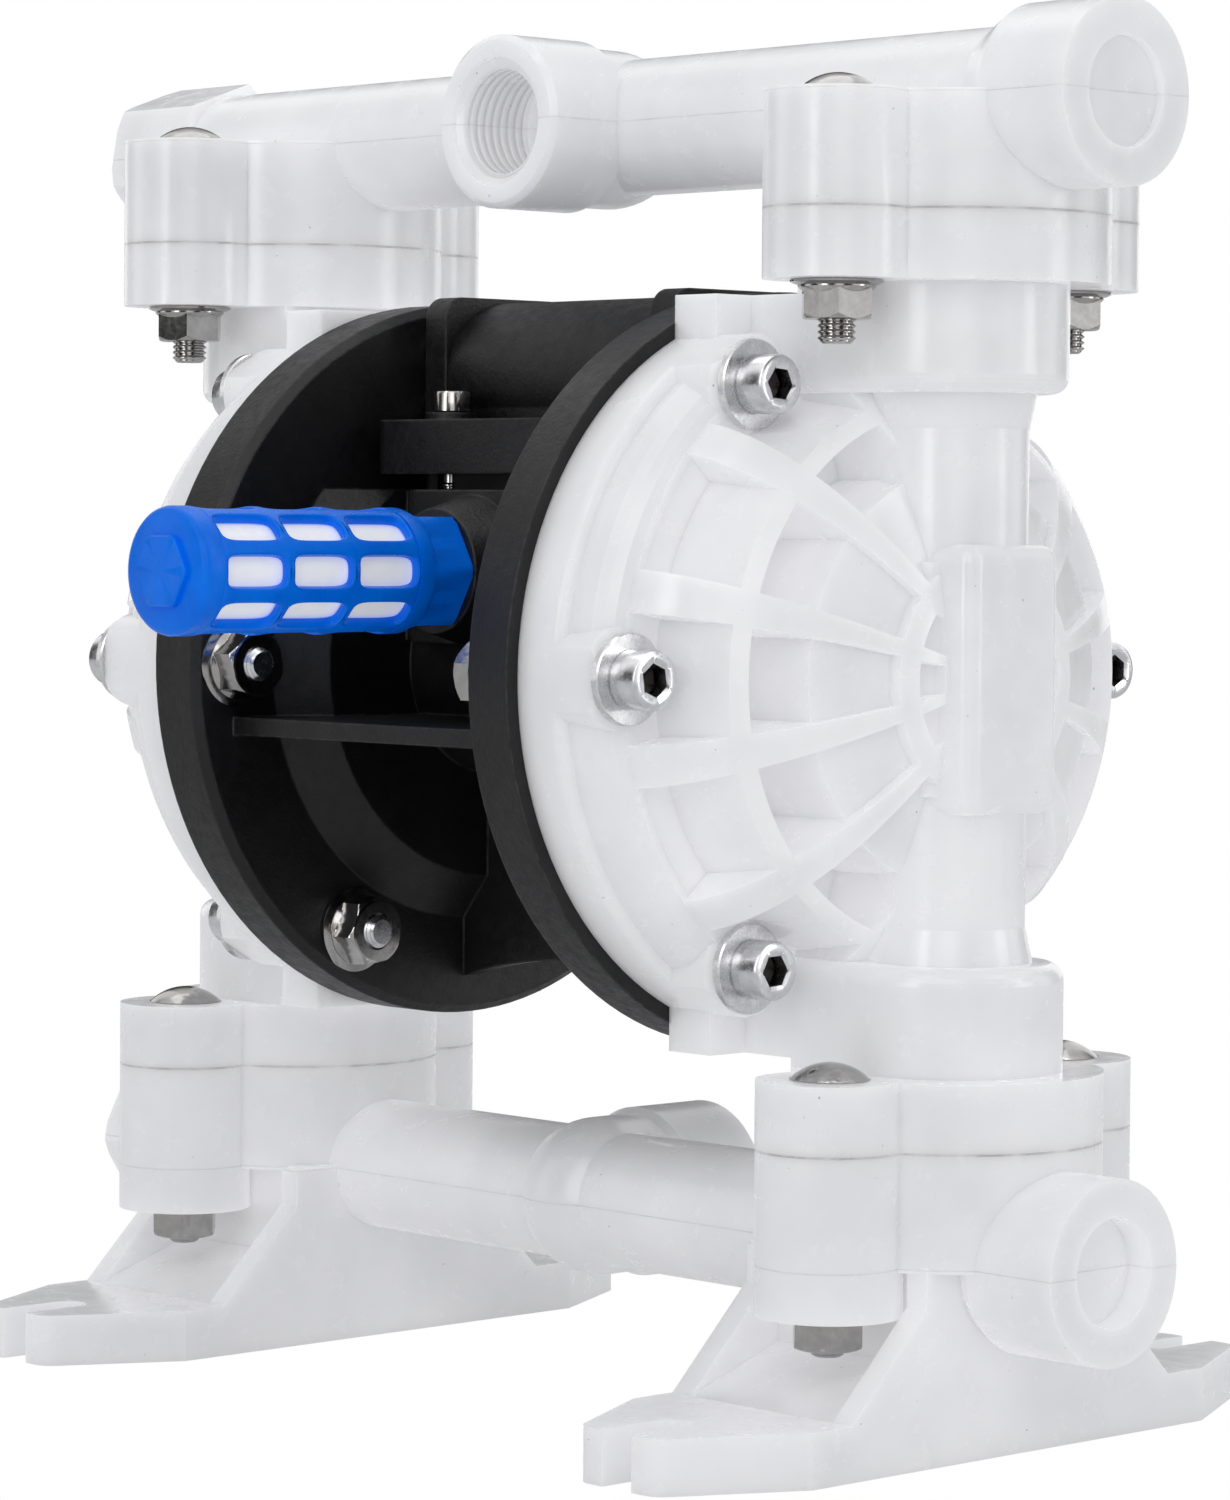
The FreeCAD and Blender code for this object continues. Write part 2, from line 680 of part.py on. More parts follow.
def foot():
    """Foot under the right column: slotted plate with two sloping side walls, cored from below."""
    floor = -shaft_height
    plate_top = floor + foot_thickness
    parting = -joint_z - inlet_disc_height
    left, right = foot_x - foot_half_x, foot_x + foot_half_x
    plan = [(foot_x - foot_tip_half, -foot_half_y), (foot_x + foot_tip_half, -foot_half_y),
            (right, -foot_corner_y), (right, foot_corner_y),
            (foot_x + foot_tip_half, foot_half_y), (foot_x - foot_tip_half, foot_half_y),
            (left, foot_corner_y), (left, -foot_corner_y)]
    plate = face_of([Vector(x, y, floor) for x, y in plan]).extrude(Vector(0, 0, foot_thickness))
    outer_tips = lambda edge: runs_along(edge, ALONG_Z) and abs(edge.CenterOfMass.y) > foot_half_y - 1
    plate = rounded(plate, foot_tip_chamfer, outer_tips)
    side = [(-foot_toe_y, plate_top - 1), (-foot_toe_y, plate_top), (-foot_crest_y, -foot_crest_z),
            (-foot_crest_y, parting + 1), (foot_crest_y, parting + 1), (foot_crest_y, -foot_crest_z),
            (foot_toe_y, plate_top), (foot_toe_y, plate_top - 1)]
    house = face_of([Vector(left, y, z) for y, z in side]).extrude(Vector(right - left, 0, 0))
    recess = [(-foot_toe_y, plate_top), (-foot_recess_back_y, -foot_recess_back_z),
              (-foot_recess_back_y, parting + 2), (-foot_half_y, parting + 2), (-foot_half_y, plate_top)]
    notch = face_of([Vector(left + foot_wall, y, z) for y, z in recess])
    notch = notch.extrude(Vector(right - left - 2 * foot_wall, 0, 0))
    house = house.cut(notch).cut(notch.mirror(ORIGIN, ALONG_Y))
    shape = joined(plate, house)
    slot_end = foot_half_y - foot_slot_depth
    core = block((left + foot_wall, right - foot_wall), (-foot_core_half_y, foot_core_half_y),
                 (floor - 1, floor + foot_core_height))
    cuts = [core]
    for end in (-1, 1):
        cuts.append(cylinder_z(foot_slot_half, floor - 1, plate_top + 1, foot_x, end * slot_end))
        span = sorted((end * slot_end, end * (foot_half_y + 1)))
        cuts.append(block((foot_x - foot_slot_half, foot_x + foot_slot_half), span,
                          (floor - 1, plate_top + 1)))
    return shape.cut(Part.makeCompound(cuts))


def inlet_manifold():
    parting = joint_z + inlet_disc_height
    lobe_end = joint_z + inlet_lobe_height
    bosses = flipped(flange_plan(joint_z, parting, joint_z, lobe_end))
    back_port = port().mirror(ORIGIN, ALONG_Y)
    tube = joined(tube_run(), back_port)
    feet = foot()
    shape = joined(flipped(tube), bosses, mirrored(bosses), feet, mirrored(feet))
    cuts = [flipped(cut) for cut in manifold_bores(inlet_recess_depth)[:-1]]
    cuts.append(flipped(port_bore().mirror(ORIGIN, ALONG_Y)))
    for side in (-1, 1):
        cuts.append(cylinder_z(tube_bore_r, -tube_z, -joint_z + 1, side * column_x))
        for bolt_side in (-1, 1):
            y = bolt_side * flange_bolt_y
            cuts.append(cylinder_z(carriage_hole_r, -lobe_end - 1, -joint_z + 1, side * column_x, y))
    return shape.cut(Part.makeCompound(cuts))


def tube_cap(first_deg):
    """Hexagon cap screwed over the left end of the outlet manifold tube."""
    end = Vector(-cap_end_x, 0, tube_z)
    head = hexagon(cap_flats, end, "x", first_deg).extrude(Vector(cap_length, 0, 0))
    edge = 1.5
    corner_r = cap_flats / math.sqrt(3)
    trim = [(-cap_end_x, 0), (-cap_end_x, corner_r - edge), (-cap_end_x + edge, corner_r + 0.1),
            (-cap_start_x, corner_r + 0.1), (-cap_start_x, 0)]
    head = head.common(turned_x(trim, Vector(0, 0, tube_z)))
    return head.cut(cylinder_x(cap_bore_r, -cap_end_x + cap_bottom, -cap_start_x + 1, 0, tube_z))


def cap_seals():
    """Flat washer in the bottom of each cap."""
    start = -cap_seal_x - cap_seal_thickness
    washer = cylinder_x(cap_bore_r - fit_gap, start, -cap_seal_x, 0, tube_z)
    washer = washer.cut(cylinder_x(tube_bore_r, start - 1, -cap_seal_x + 1, 0, tube_z))
    return Part.makeCompound([washer, flipped(washer)])


# Ball valves

def valve_seat(top):
    """Seat ring with its edge hollowed to the ball."""
    ring = cylinder_z(valve_bore_r - fit_gap, top - seat_height, top, column_x)
    ball_place = Vector(column_x, 0, top + ball_over_seat)
    bore = cylinder_z(seat_bore_r, top - seat_height - 1, top + 1, column_x)
    return ring.cut(Part.makeCompound([bore, Part.makeSphere(ball_r + seat_gap, ball_place)]))


def valve_ball(height):
    return Part.makeSphere(ball_r, Vector(column_x, 0, height))


def flange_o_rings(height):
    """The two rings between the covers and one manifold."""
    ring = Part.makeTorus(o_ring_r, o_ring_section_r, Vector(column_x, 0, height), ALONG_Z)
    return Part.makeCompound([ring, mirrored(ring)])


# Fasteners

def carriage_bolt(head_z, length, x, y):
    """Bolt with a domed head on top, hanging down from its seat."""
    shank = cylinder_z(carriage_r, head_z - length, head_z, x, y)
    cap_r = (dome_head_r ** 2 + dome_head_height ** 2) / (2 * dome_head_height)
    centre_z = head_z + dome_head_height - cap_r
    cap = Part.makeSphere(cap_r, Vector(x, y, centre_z))
    cap = cap.common(cylinder_z(dome_head_r, head_z, head_z + dome_head_height + 1, x, y))
    return joined(shank, cap)


def flange_nut_z(seat_z, x, y):
    """Flange nut under a seat, with its rim at the top."""
    rim_z = seat_z - flange_nut_rim
    cone_z = rim_z - flange_nut_cone
    rim = turned_z([(0, cone_z), (nut_flats / 2, cone_z), (flange_nut_r, rim_z),
                    (flange_nut_r, seat_z), (0, seat_z)], x, y)
    body = hexagon(nut_flats, Vector(x, y, seat_z - flange_nut_height), "z", nut_turn_deg)
    body = body.extrude(Vector(0, 0, flange_nut_height))
    bore = cylinder_z(carriage_r + running_gap, seat_z - flange_nut_height - 1, seat_z + 1, x, y)
    return joined(rim, body).cut(bore)


def plain_nut_z(seat_z, x, y):
    """Hexagon nut under a seat."""
    body = hexagon(nut_flats, Vector(x, y, seat_z - nut_height), "z", nut_turn_deg)
    body = body.extrude(Vector(0, 0, nut_height))
    return body.cut(cylinder_z(carriage_r + running_gap, seat_z - nut_height - 1, seat_z + 1, x, y))


def at_flange_bolts(make):
    """One group of four copies, at the four flange bolts of a manifold."""
    places = [(x, y) for x in (-column_x, column_x) for y in (-flange_bolt_y, flange_bolt_y)]
    return Part.makeCompound([make(x, y) for x, y in places])


def socket_screw_x(y, z, seat_x, tip_x, radius, head_r, head_height, socket):
    """Socket head screw along X with its head outwards from the seat."""
    edge = 0.5
    profile = [(tip_x, 0), (tip_x, radius), (seat_x, radius), (seat_x, head_r),
               (seat_x + head_height - edge, head_r), (seat_x + head_height, head_r - edge),
               (seat_x + head_height, 0)]
    flats, depth = socket
    key = hexagon(flats, Vector(seat_x + head_height - depth, y, z), "x", 30)
    return turned_x(profile, Vector(0, y, z)).cut(key.extrude(Vector(depth + 1, 0, 0)))


def right_cover_screws():
    seat_x = screw_seat_x + washer_thickness
    nut_tip_x = disc_inner_x - flange_nut_height - thread_past_nut
    insert_tip_x = insert_x + hole_gap
    socket = (cap_head_socket_flats, cap_head_socket_depth)
    screws = []
    for angle in screw_angles:
        y, z = on_circle(screw_circle_r, angle)
        tip_x = insert_tip_x if angle in insert_angles else nut_tip_x
        screws.append(socket_screw_x(y, z, seat_x, tip_x, bolt_r, cap_head_r, cap_head_height, socket))
    return Part.makeCompound(screws)


def right_cover_washers():
    washers = []
    for angle in screw_angles:
        y, z = on_circle(screw_circle_r, angle)
        ring = cylinder_x(washer_r, screw_seat_x, screw_seat_x + washer_thickness, y, z)
        bore = cylinder_x(bolt_r + running_gap, screw_seat_x - 1, screw_seat_x + washer_thickness + 1, y, z)
        washers.append(ring.cut(bore))
    return Part.makeCompound(washers)


def cover_inserts():
    """Threaded inserts in the discs, for the cover screws beside the air valve."""
    inserts = []
    for angle in insert_angles:
        y, z = on_circle(screw_circle_r, angle)
        inserts.append(ring_pair(insert_r - fit_gap, bolt_r + running_gap, insert_x, insert_x + insert_length, y, z))
    return Part.makeCompound(inserts)


def right_cover_nuts():
    """Flange nuts on the inner face of the right disc."""
    nuts = []
    for angle in nut_angles:
        y, z = on_circle(screw_circle_r, angle)
        centre = Vector(0, y, z)
        rim_x = disc_inner_x - flange_nut_rim
        cone_x = rim_x - flange_nut_cone
        end_x = disc_inner_x - flange_nut_height
        rim = turned_x([(cone_x, 0), (cone_x, nut_flats / 2), (rim_x, flange_nut_r),
                        (disc_inner_x, flange_nut_r), (disc_inner_x, 0)], centre)
        body = hexagon(nut_flats, Vector(end_x, y, z), "x", 10).extrude(Vector(flange_nut_height, 0, 0))
        bore = cylinder_x(bolt_r + running_gap, end_x - 1, disc_inner_x + 1, y, z)
        nuts.append(joined(rim, body).cut(bore))
    return Part.makeCompound(nuts)


# Centre block

def half_shell():
    """Right disc with its air chamber bowl."""
    edge = disc_rim_round
    profile = [(0, 0), (0, barrel_r), (bowl_floor_x, barrel_r), (bowl_floor_x, bowl_floor_r),
               (disc_inner_x, bowl_r), (disc_inner_x, disc_r - edge), (disc_inner_x + edge, disc_r),
               (joint_x, disc_r), (joint_x, 0)]
    return turned_x(profile)


def half_hollow():
    """Air chamber, diaphragm seat, bush bore and cover screw holes of the right half."""
    chamber_profile = [(air_chamber_floor_x, 0), (air_chamber_floor_x, air_chamber_floor_r),
                       (disc_inner_x + air_chamber_step, air_chamber_step_r), (joint_x - 2, air_chamber_r), (joint_x + 1, air_chamber_r), (joint_x + 1, 0)]
    cuts = [turned_x(chamber_profile)]
    cuts.append(cylinder_x(diaphragm_r + hole_gap, joint_x - rim_half, joint_x + 1))
    bush_start = air_chamber_floor_x - seal_length - bush_length
    cuts.append(cylinder_x(bush_r, bush_start, air_chamber_floor_x + 1))
    cuts.append(cylinder_x(shaft_r + 1, -1, bush_start + 1))
    pilot_start = air_chamber_floor_x - pilot_bush_length
    cuts.append(cylinder_x(pilot_bush_r, pilot_start, air_chamber_floor_x + 1, pilot_y, pilot_z))
    cuts.append(cylinder_x(pilot_r + 1, -1, pilot_start + 1, pilot_y, pilot_z))
    cuts.append(cylinder_x(passage_r, chamber_port_x, air_chamber_floor_x + 1, 0, chamber_port_z))
    cuts.append(cylinder_z(passage_r, chamber_port_z, block_top_z + 1, chamber_port_x, 0))
    for angle in nut_angles:
        y, z = on_circle(screw_circle_r, angle)
        cuts.append(cylinder_x(bolt_hole_r, disc_inner_x - 1, joint_x + 1, y, z))
    for angle in insert_angles:
        y, z = on_circle(screw_circle_r, angle)
        cuts.append(cylinder_x(insert_r, insert_x, insert_x + insert_length, y, z))
        cuts.append(cylinder_x(bolt_hole_r, insert_x, joint_x + 1, y, z))
    return cuts


def keel():
    """Upright web under the barrel with an arched lower edge."""
    middle = Vector(0, -keel_thickness / 2, keel_middle_z)
    left = Vector(-disc_inner_x, -keel_thickness / 2, keel_end_z)
    right = Vector(disc_inner_x, -keel_thickness / 2, keel_end_z)
    arch = Part.Edge(Part.Arc(left, middle, right))
    top_left = Vector(-disc_inner_x, -keel_thickness / 2, 0)
    top_right = Vector(disc_inner_x, -keel_thickness / 2, 0)
    outline = [arch, Part.makeLine(right, top_right), Part.makeLine(top_right, top_left),
               Part.makeLine(top_left, left)]
    return Part.Face(Part.Wire(outline)).extrude(Vector(0, keel_thickness, 0))


def centre_block():
    half = half_shell()
    body = block((-block_half_x, block_half_x), (-block_half_y, block_half_y),
                 (block_bottom_z, block_top_z))
    wings = block((-bowl_floor_x - 1, bowl_floor_x + 1), (-block_half_y + 4, block_half_y - 4),
                  (block_bottom_z, block_top_z))
    nose = block((-nose_block_half_x, nose_block_half_x), (-muffler_face_y, -block_half_y + 1),
                 (block_bottom_z, block_top_z))
    ring_y = -muffler_face_y - muffler_ring_height
    ring = turned_y([(ring_y, 0), (ring_y, muffler_ring_r), (-muffler_face_y, muffler_ring_foot_r),
                     (-muffler_face_y + 1, muffler_ring_foot_r), (-muffler_face_y + 1, 0)], 0, muffler_z)
    air_boss = cylinder_y(air_boss_r, block_half_y - 1, air_boss_y, 0, muffler_z)
    shelf = block((-disc_inner_x, disc_inner_x), (-shelf_y, shelf_y),
                  (shelf_top_z - shelf_thickness, shelf_top_z))
    shape = joined(half, mirrored(half), body, wings, nose, ring, air_boss, shelf, keel())
    room = block((-disc_inner_x, disc_inner_x), (-disc_r, disc_r), (block_top_z, disc_r))
    halves = half_hollow()
    cuts = [room] + halves + [mirrored(cut) for cut in halves]
    thread_back = -muffler_face_y + muffler_thread_length + 1
    cuts.append(cylinder_y(muffler_thread_r + fit_gap, -muffler_face_y - muffler_ring_height - 1,
                           thread_back, 0, muffler_z))
    cuts.append(cylinder_z(passage_r, muffler_z, block_top_z + 1, 0, -supply_port_y))
    cuts.append(cylinder_y(air_port_r, air_boss_y - air_port_length, air_boss_y + 1, 0, muffler_z))
    cuts.append(cylinder_z(passage_r, muffler_z, block_top_z + 1, 0, air_boss_y - air_port_length + 2))
    for x, y in valve_screw_places():
        cuts.append(cylinder_z(valve_screw_r + running_gap, block_top_z - valve_screw_depth,
                               block_top_z + 1, x, y))
    return shape.cut(Part.makeCompound(cuts))


# Muffler

def muffler_cage():
    """Slotted tube with a closed far end, a hexagon and a screwed neck."""
    seat_y = -muffler_face_y - muffler_ring_height
    hex_y = seat_y - muffler_hex_length
    edge = 1.2
    profile = [(muffler_end_y, 0), (muffler_end_y, muffler_r - edge), (muffler_end_y + edge, muffler_r),
               (hex_y - 1, muffler_r), (hex_y, muffler_hex_flats / 2 - 0.6), (hex_y, 0)]
    shape = turned_y(profile, 0, muffler_z)
    nut = hexagon(muffler_hex_flats, Vector(0, hex_y, muffler_z), "y", 30)
    nut = nut.extrude(Vector(0, muffler_hex_length, 0))
    neck = cylinder_y(muffler_thread_r, seat_y, seat_y + muffler_thread_length, 0, muffler_z)
    lug = hexagon(muffler_boss_flats, Vector(0, muffler_end_y - muffler_boss_height, muffler_z), "y", 30)
    lug = lug.extrude(Vector(0, muffler_boss_height + 1, 0))
    shape = joined(shape, nut, neck, lug)
    cuts = [cylinder_y(muffler_r - muffler_wall, muffler_end_y + muffler_cap - 1, hex_y - 2, 0, muffler_z)]
    cuts.append(cylinder_y(muffler_bore_r, hex_y - 3, seat_y + muffler_thread_length + 1, 0, muffler_z))
    groove_half = muffler_slot_width / 2
    cuts.append(block((-groove_half, groove_half), (muffler_end_y - muffler_boss_height - 1,
                muffler_end_y - muffler_boss_height + 0.6),
                (muffler_z - muffler_boss_flats, muffler_z + muffler_boss_flats)))
    half_width = muffler_r * math.sin(math.radians(window_half_deg))
    for column_index in range(window_columns):
        start = muffler_end_y + window_first + column_index * window_pitch
        window = block((muffler_r - muffler_wall - 1, muffler_r + 1), (start, start + window_length),
                       (muffler_z - half_width, muffler_z + half_width))
        window = rounded(window, window_round, lambda edge: runs_along(edge, ALONG_X))
        for row in range(window_rows):
            turned = window.copy()
            turned.rotate(Vector(0, 0, muffler_z), ALONG_Y, 360.0 / window_rows * row)
            cuts.append(turned)
    return shape.cut(Part.makeCompound(cuts))


def muffler_core():
    """Felt sleeve inside the cage."""
    outer = muffler_r - muffler_wall - felt_gap
    hex_y = -muffler_face_y - muffler_ring_height - muffler_hex_length
    start = muffler_end_y + muffler_cap - 1 + felt_gap
    end = hex_y - 2 - felt_gap
    hollow = cylinder_y(muffler_bore_r, start + 3, end + 1, 0, muffler_z)
    return cylinder_y(outer, start, end, 0, muffler_z).cut(hollow)


# Diaphragms and shaft

def right_diaphragm():
    """Rubber disc with a clamped rim, a rolled ring and a flat middle."""
    roll_start = plate_r + 1.0
    roll_end = rim_inner_r - 1.5
    half = diaphragm_thickness / 2
    middle = (roll_start + roll_end) / 2
    steps = 12
    front, back = [], []
    for index in range(steps + 1):
        share = index / steps
        radius = roll_start + (roll_end - roll_start) * share
        shift = diaphragm_bulge * math.sin(math.pi * share)
        front.append((joint_x + half + shift, radius))
        back.append((joint_x - half + shift, radius))
    rim = [(joint_x + rim_half, rim_inner_r), (joint_x + rim_half, diaphragm_r),
           (joint_x - rim_half, diaphragm_r), (joint_x - rim_half, rim_inner_r)]
    centre = [(joint_x - half, stud_r + running_gap), (joint_x + half, stud_r + running_gap)]
    return turned_x(centre + front + rim + back[::-1])


def right_inner_plate():
    profile = [(inner_plate_x, stud_r + running_gap), (inner_plate_x, plate_r - plate_edge),
               (inner_plate_x + plate_edge, plate_r), (diaphragm_back_x, plate_r),
               (diaphragm_back_x, stud_r + running_gap)]
    return turned_x(profile)


def right_outer_plate():
    profile = [(diaphragm_front_x, stud_r + running_gap), (diaphragm_front_x, plate_r),
               (diaphragm_front_x + 1, plate_r), (outer_plate_x, plate_r - 4),
               (outer_plate_x, stud_r + running_gap)]
    return turned_x(profile)


def shaft():
    """Round shaft with a thinner screwed stud at each end."""
    stud_end = inner_plate_x + stud_length
    edge = 0.8
    profile = [(-stud_end, 0), (-stud_end, stud_r - edge), (-stud_end + edge, stud_r),
               (-inner_plate_x, stud_r), (-inner_plate_x, shaft_r), (inner_plate_x, shaft_r),
               (inner_plate_x, stud_r), (stud_end - edge, stud_r), (stud_end, stud_r - edge),
               (stud_end, 0)]
    return turned_x(profile)


def shaft_nuts():
    """Hexagon nut on each end of the shaft."""
    body = hexagon(shaft_nut_flats, Vector(outer_plate_x, 0, 0), "x")
    body = body.extrude(Vector(shaft_nut_height, 0, 0))
    nut = body.cut(cylinder_x(stud_r + running_gap, outer_plate_x - 1, outer_plate_x + shaft_nut_height + 1))
    return Part.makeCompound([nut, mirrored(nut)])


def ring_pair(outer_r, inner_r, start, end, y=0.0, z=0.0):
    """A round ring on each side of the middle."""
    ring = cylinder_x(outer_r, start, end, y, z).cut(cylinder_x(inner_r, start - 1, end + 1, y, z))
    return Part.makeCompound([ring, mirrored(ring)])


def shaft_bushes():
    end = air_chamber_floor_x - seal_length
    return ring_pair(bush_r - fit_gap, shaft_r + running_gap, end - bush_length, end)


def shaft_seals():
    return ring_pair(bush_r - fit_gap, shaft_r + running_gap, air_chamber_floor_x - seal_length,
                     air_chamber_floor_x)


def pilot_bushes():
    start = air_chamber_floor_x - pilot_bush_length
    return ring_pair(pilot_bush_r - fit_gap, pilot_r + running_gap, start, air_chamber_floor_x,
                     pilot_y, pilot_z)


def pilot_rod():
    edge = 0.6
    profile = [(-pilot_end_x, 0), (-pilot_end_x, pilot_r - edge), (-pilot_end_x + edge, pilot_r),
               (pilot_end_x - edge, pilot_r), (pilot_end_x, pilot_r - edge), (pilot_end_x, 0)]
    return turned_x(profile, Vector(0, pilot_y, pilot_z))


# Air valve

def valve_screw_places():
    return [(x, y) for x in (-valve_screw_x, valve_screw_x) for y in (-valve_screw_y, valve_screw_y)]


def air_valve_gasket():
    sheet = block((-valve_base_half_x + gasket_inset, valve_base_half_x - gasket_inset),
                  (-block_half_y + gasket_inset, block_half_y - gasket_inset),
                  (block_top_z, valve_base_z))
    sheet = rounded(sheet, 3, lambda edge: runs_along(edge, ALONG_Z))
    holes = [cylinder_z(passage_r, block_top_z - 1, valve_base_z + 1, x, y)
             for x, y in ((-chamber_port_x, 0), (chamber_port_x, 0), (0, -supply_port_y),
                          (0, supply_port_y))]
    holes += [cylinder_z(valve_screw_r + spot_gap, block_top_z - 1, valve_base_z + 1, x, y)
              for x, y in valve_screw_places()]
    return sheet.cut(Part.makeCompound(holes))


def air_valve_body():
    """Barrel for the spool on a flat base with four screw bosses."""
    base = block((-valve_base_half_x, valve_base_half_x), (-valve_base_half_y, valve_base_half_y),
                 (valve_base_z, valve_base_top))
    base = rounded(base, valve_base_round, lambda edge: runs_along(edge, ALONG_Z))
    barrel = cylinder_x(valve_barrel_r, -valve_barrel_half_x, valve_barrel_half_x, 0, valve_barrel_z)
    barrel = barrel.common(block((-valve_barrel_half_x, valve_barrel_half_x),
                                 (-valve_barrel_r, valve_barrel_r),
                                 (valve_base_z, valve_barrel_z + valve_barrel_r)))
    saddle = block((-valve_barrel_half_x, valve_barrel_half_x), (-valve_barrel_r + 1, valve_barrel_r - 1),
                   (valve_base_z, valve_barrel_z))
    bosses = [cylinder_z(valve_screw_boss_r, valve_base_z, valve_base_top + valve_screw_boss_height, x, y)
              for x, y in valve_screw_places()]
    shape = joined(base, barrel, saddle, *bosses)
    cuts = [cylinder_x(sleeve_r, -valve_barrel_half_x - 1, valve_barrel_half_x + 1, 0, valve_barrel_z)]
    for x, y in ((-chamber_port_x / 2, 0), (chamber_port_x / 2, 0)):
        cuts.append(cylinder_z(passage_r, valve_base_z - 1, valve_barrel_z, x, y))
    for x, y in valve_screw_places():
        cuts.append(cylinder_z(valve_screw_r + hole_gap, valve_base_z - 1, valve_base_top + 5, x, y))
    for x, y, z in cap_screw_places():
        side = 1 if x > 0 else -1
        reach = sorted((side * (valve_barrel_half_x - 6.5), side * (valve_barrel_half_x + 1)))
        cuts.append(cylinder_x(cap_screw_r + running_gap, reach[0], reach[1], y, z))
    return shape.cut(Part.makeCompound(cuts))


def cap_screw_places():
    """Ends of the cap screws: x side, y, z."""
    return [(side, y, z) for side in (-1, 1) for y in (-cap_screw_y, cap_screw_y)
            for z in (valve_barrel_z - cap_screw_z, valve_barrel_z + cap_screw_z)]


def right_valve_cap():
    """End plate that closes the spool bore."""
    cap = block((valve_barrel_half_x, valve_cap_end_x), (-valve_cap_half_y, valve_cap_half_y),
                (valve_base_top, valve_cap_top_z))
    top_edges = lambda edge: runs_along(edge, ALONG_X) and edge.CenterOfMass.z > valve_cap_top_z - 1
    cap = rounded(cap, valve_cap_round, top_edges)
    cuts = [cylinder_x(spool_chamber_r, valve_barrel_half_x - 1, valve_barrel_half_x + spool_chamber_depth,
                       0, valve_barrel_z)]
    half = cap_ring_section_r + running_gap
    ring_end = valve_barrel_half_x + 2 * half
    ring = cylinder_x(cap_ring_r + half, valve_barrel_half_x - 1, ring_end, 0, valve_barrel_z)
    cuts.append(ring.cut(cylinder_x(cap_ring_r - half, valve_barrel_half_x - 2, ring_end + 1, 0, valve_barrel_z)))
    for side, y, z in cap_screw_places():
        if side > 0:
            cuts.append(cylinder_x(cap_screw_r + hole_gap, valve_barrel_half_x - 1, valve_cap_end_x + 1, y, z))
    return cap.cut(Part.makeCompound(cuts))


def valve_cap_rings():
    centre = Vector(valve_barrel_half_x + cap_ring_section_r + running_gap, 0, valve_barrel_z)
    ring = Part.makeTorus(cap_ring_r, cap_ring_section_r, centre, ALONG_X)
    return Part.makeCompound([ring, mirrored(ring)])


def valve_cap_screws():
    screws = []
    tip_x = valve_barrel_half_x - 6
    socket = (2.0, 1.5)
    for side, y, z in cap_screw_places():
        if side > 0:
            screws.append(socket_screw_x(y, z, valve_cap_end_x, tip_x, cap_screw_r, cap_screw_head_r,
                                         cap_screw_head_height, socket))
    return Part.makeCompound(screws + [mirrored(screw) for screw in screws])


def valve_sleeve():
    """Ported metal sleeve in the barrel."""
    sleeve = cylinder_x(sleeve_r - fit_gap, -valve_barrel_half_x, valve_barrel_half_x, 0, valve_barrel_z)
    bore = cylinder_x(sleeve_bore_r + running_gap, -valve_barrel_half_x - 1, valve_barrel_half_x + 1,
                      0, valve_barrel_z)
    ports = [cylinder_z(1.5, valve_barrel_z - sleeve_r - 1, valve_barrel_z, x) for x in (-6.0, 0.0, 6.0)]
    return sleeve.cut(Part.makeCompound([bore] + ports))


def valve_spool():
    """Spool with three lands and two waists."""
    land = 2.5
    profile = [(-spool_half_length - 3, 0), (-spool_half_length - 3, sleeve_bore_r)]
    for start, end in ((-spool_half_length, -2 - land), (2 + land, spool_half_length)):
        profile += [(start, sleeve_bore_r), (start, spool_waist_r), (end, spool_waist_r),
                    (end, sleeve_bore_r)]
    profile += [(spool_half_length + 3, sleeve_bore_r), (spool_half_length + 3, 0)]
    return turned_x(profile, Vector(0, 0, valve_barrel_z))


def air_valve_screws():
    """Screws that hold the air valve down on the centre block."""
    screws = []
    seat_z = valve_base_top + valve_screw_boss_height
    for x, y in valve_screw_places():
        shank = cylinder_z(valve_screw_r, block_top_z - valve_screw_depth + 1, seat_z, x, y)
        head = cylinder_z(valve_screw_head_r, seat_z, seat_z + valve_screw_head_height, x, y)
        key = hexagon(valve_screw_socket_flats,
                      Vector(x, y, seat_z + valve_screw_head_height - valve_screw_socket_depth), "z")
        screws.append(joined(shank, head).cut(key.extrude(Vector(0, 0, valve_screw_head_height))))
    return Part.makeCompound(screws)


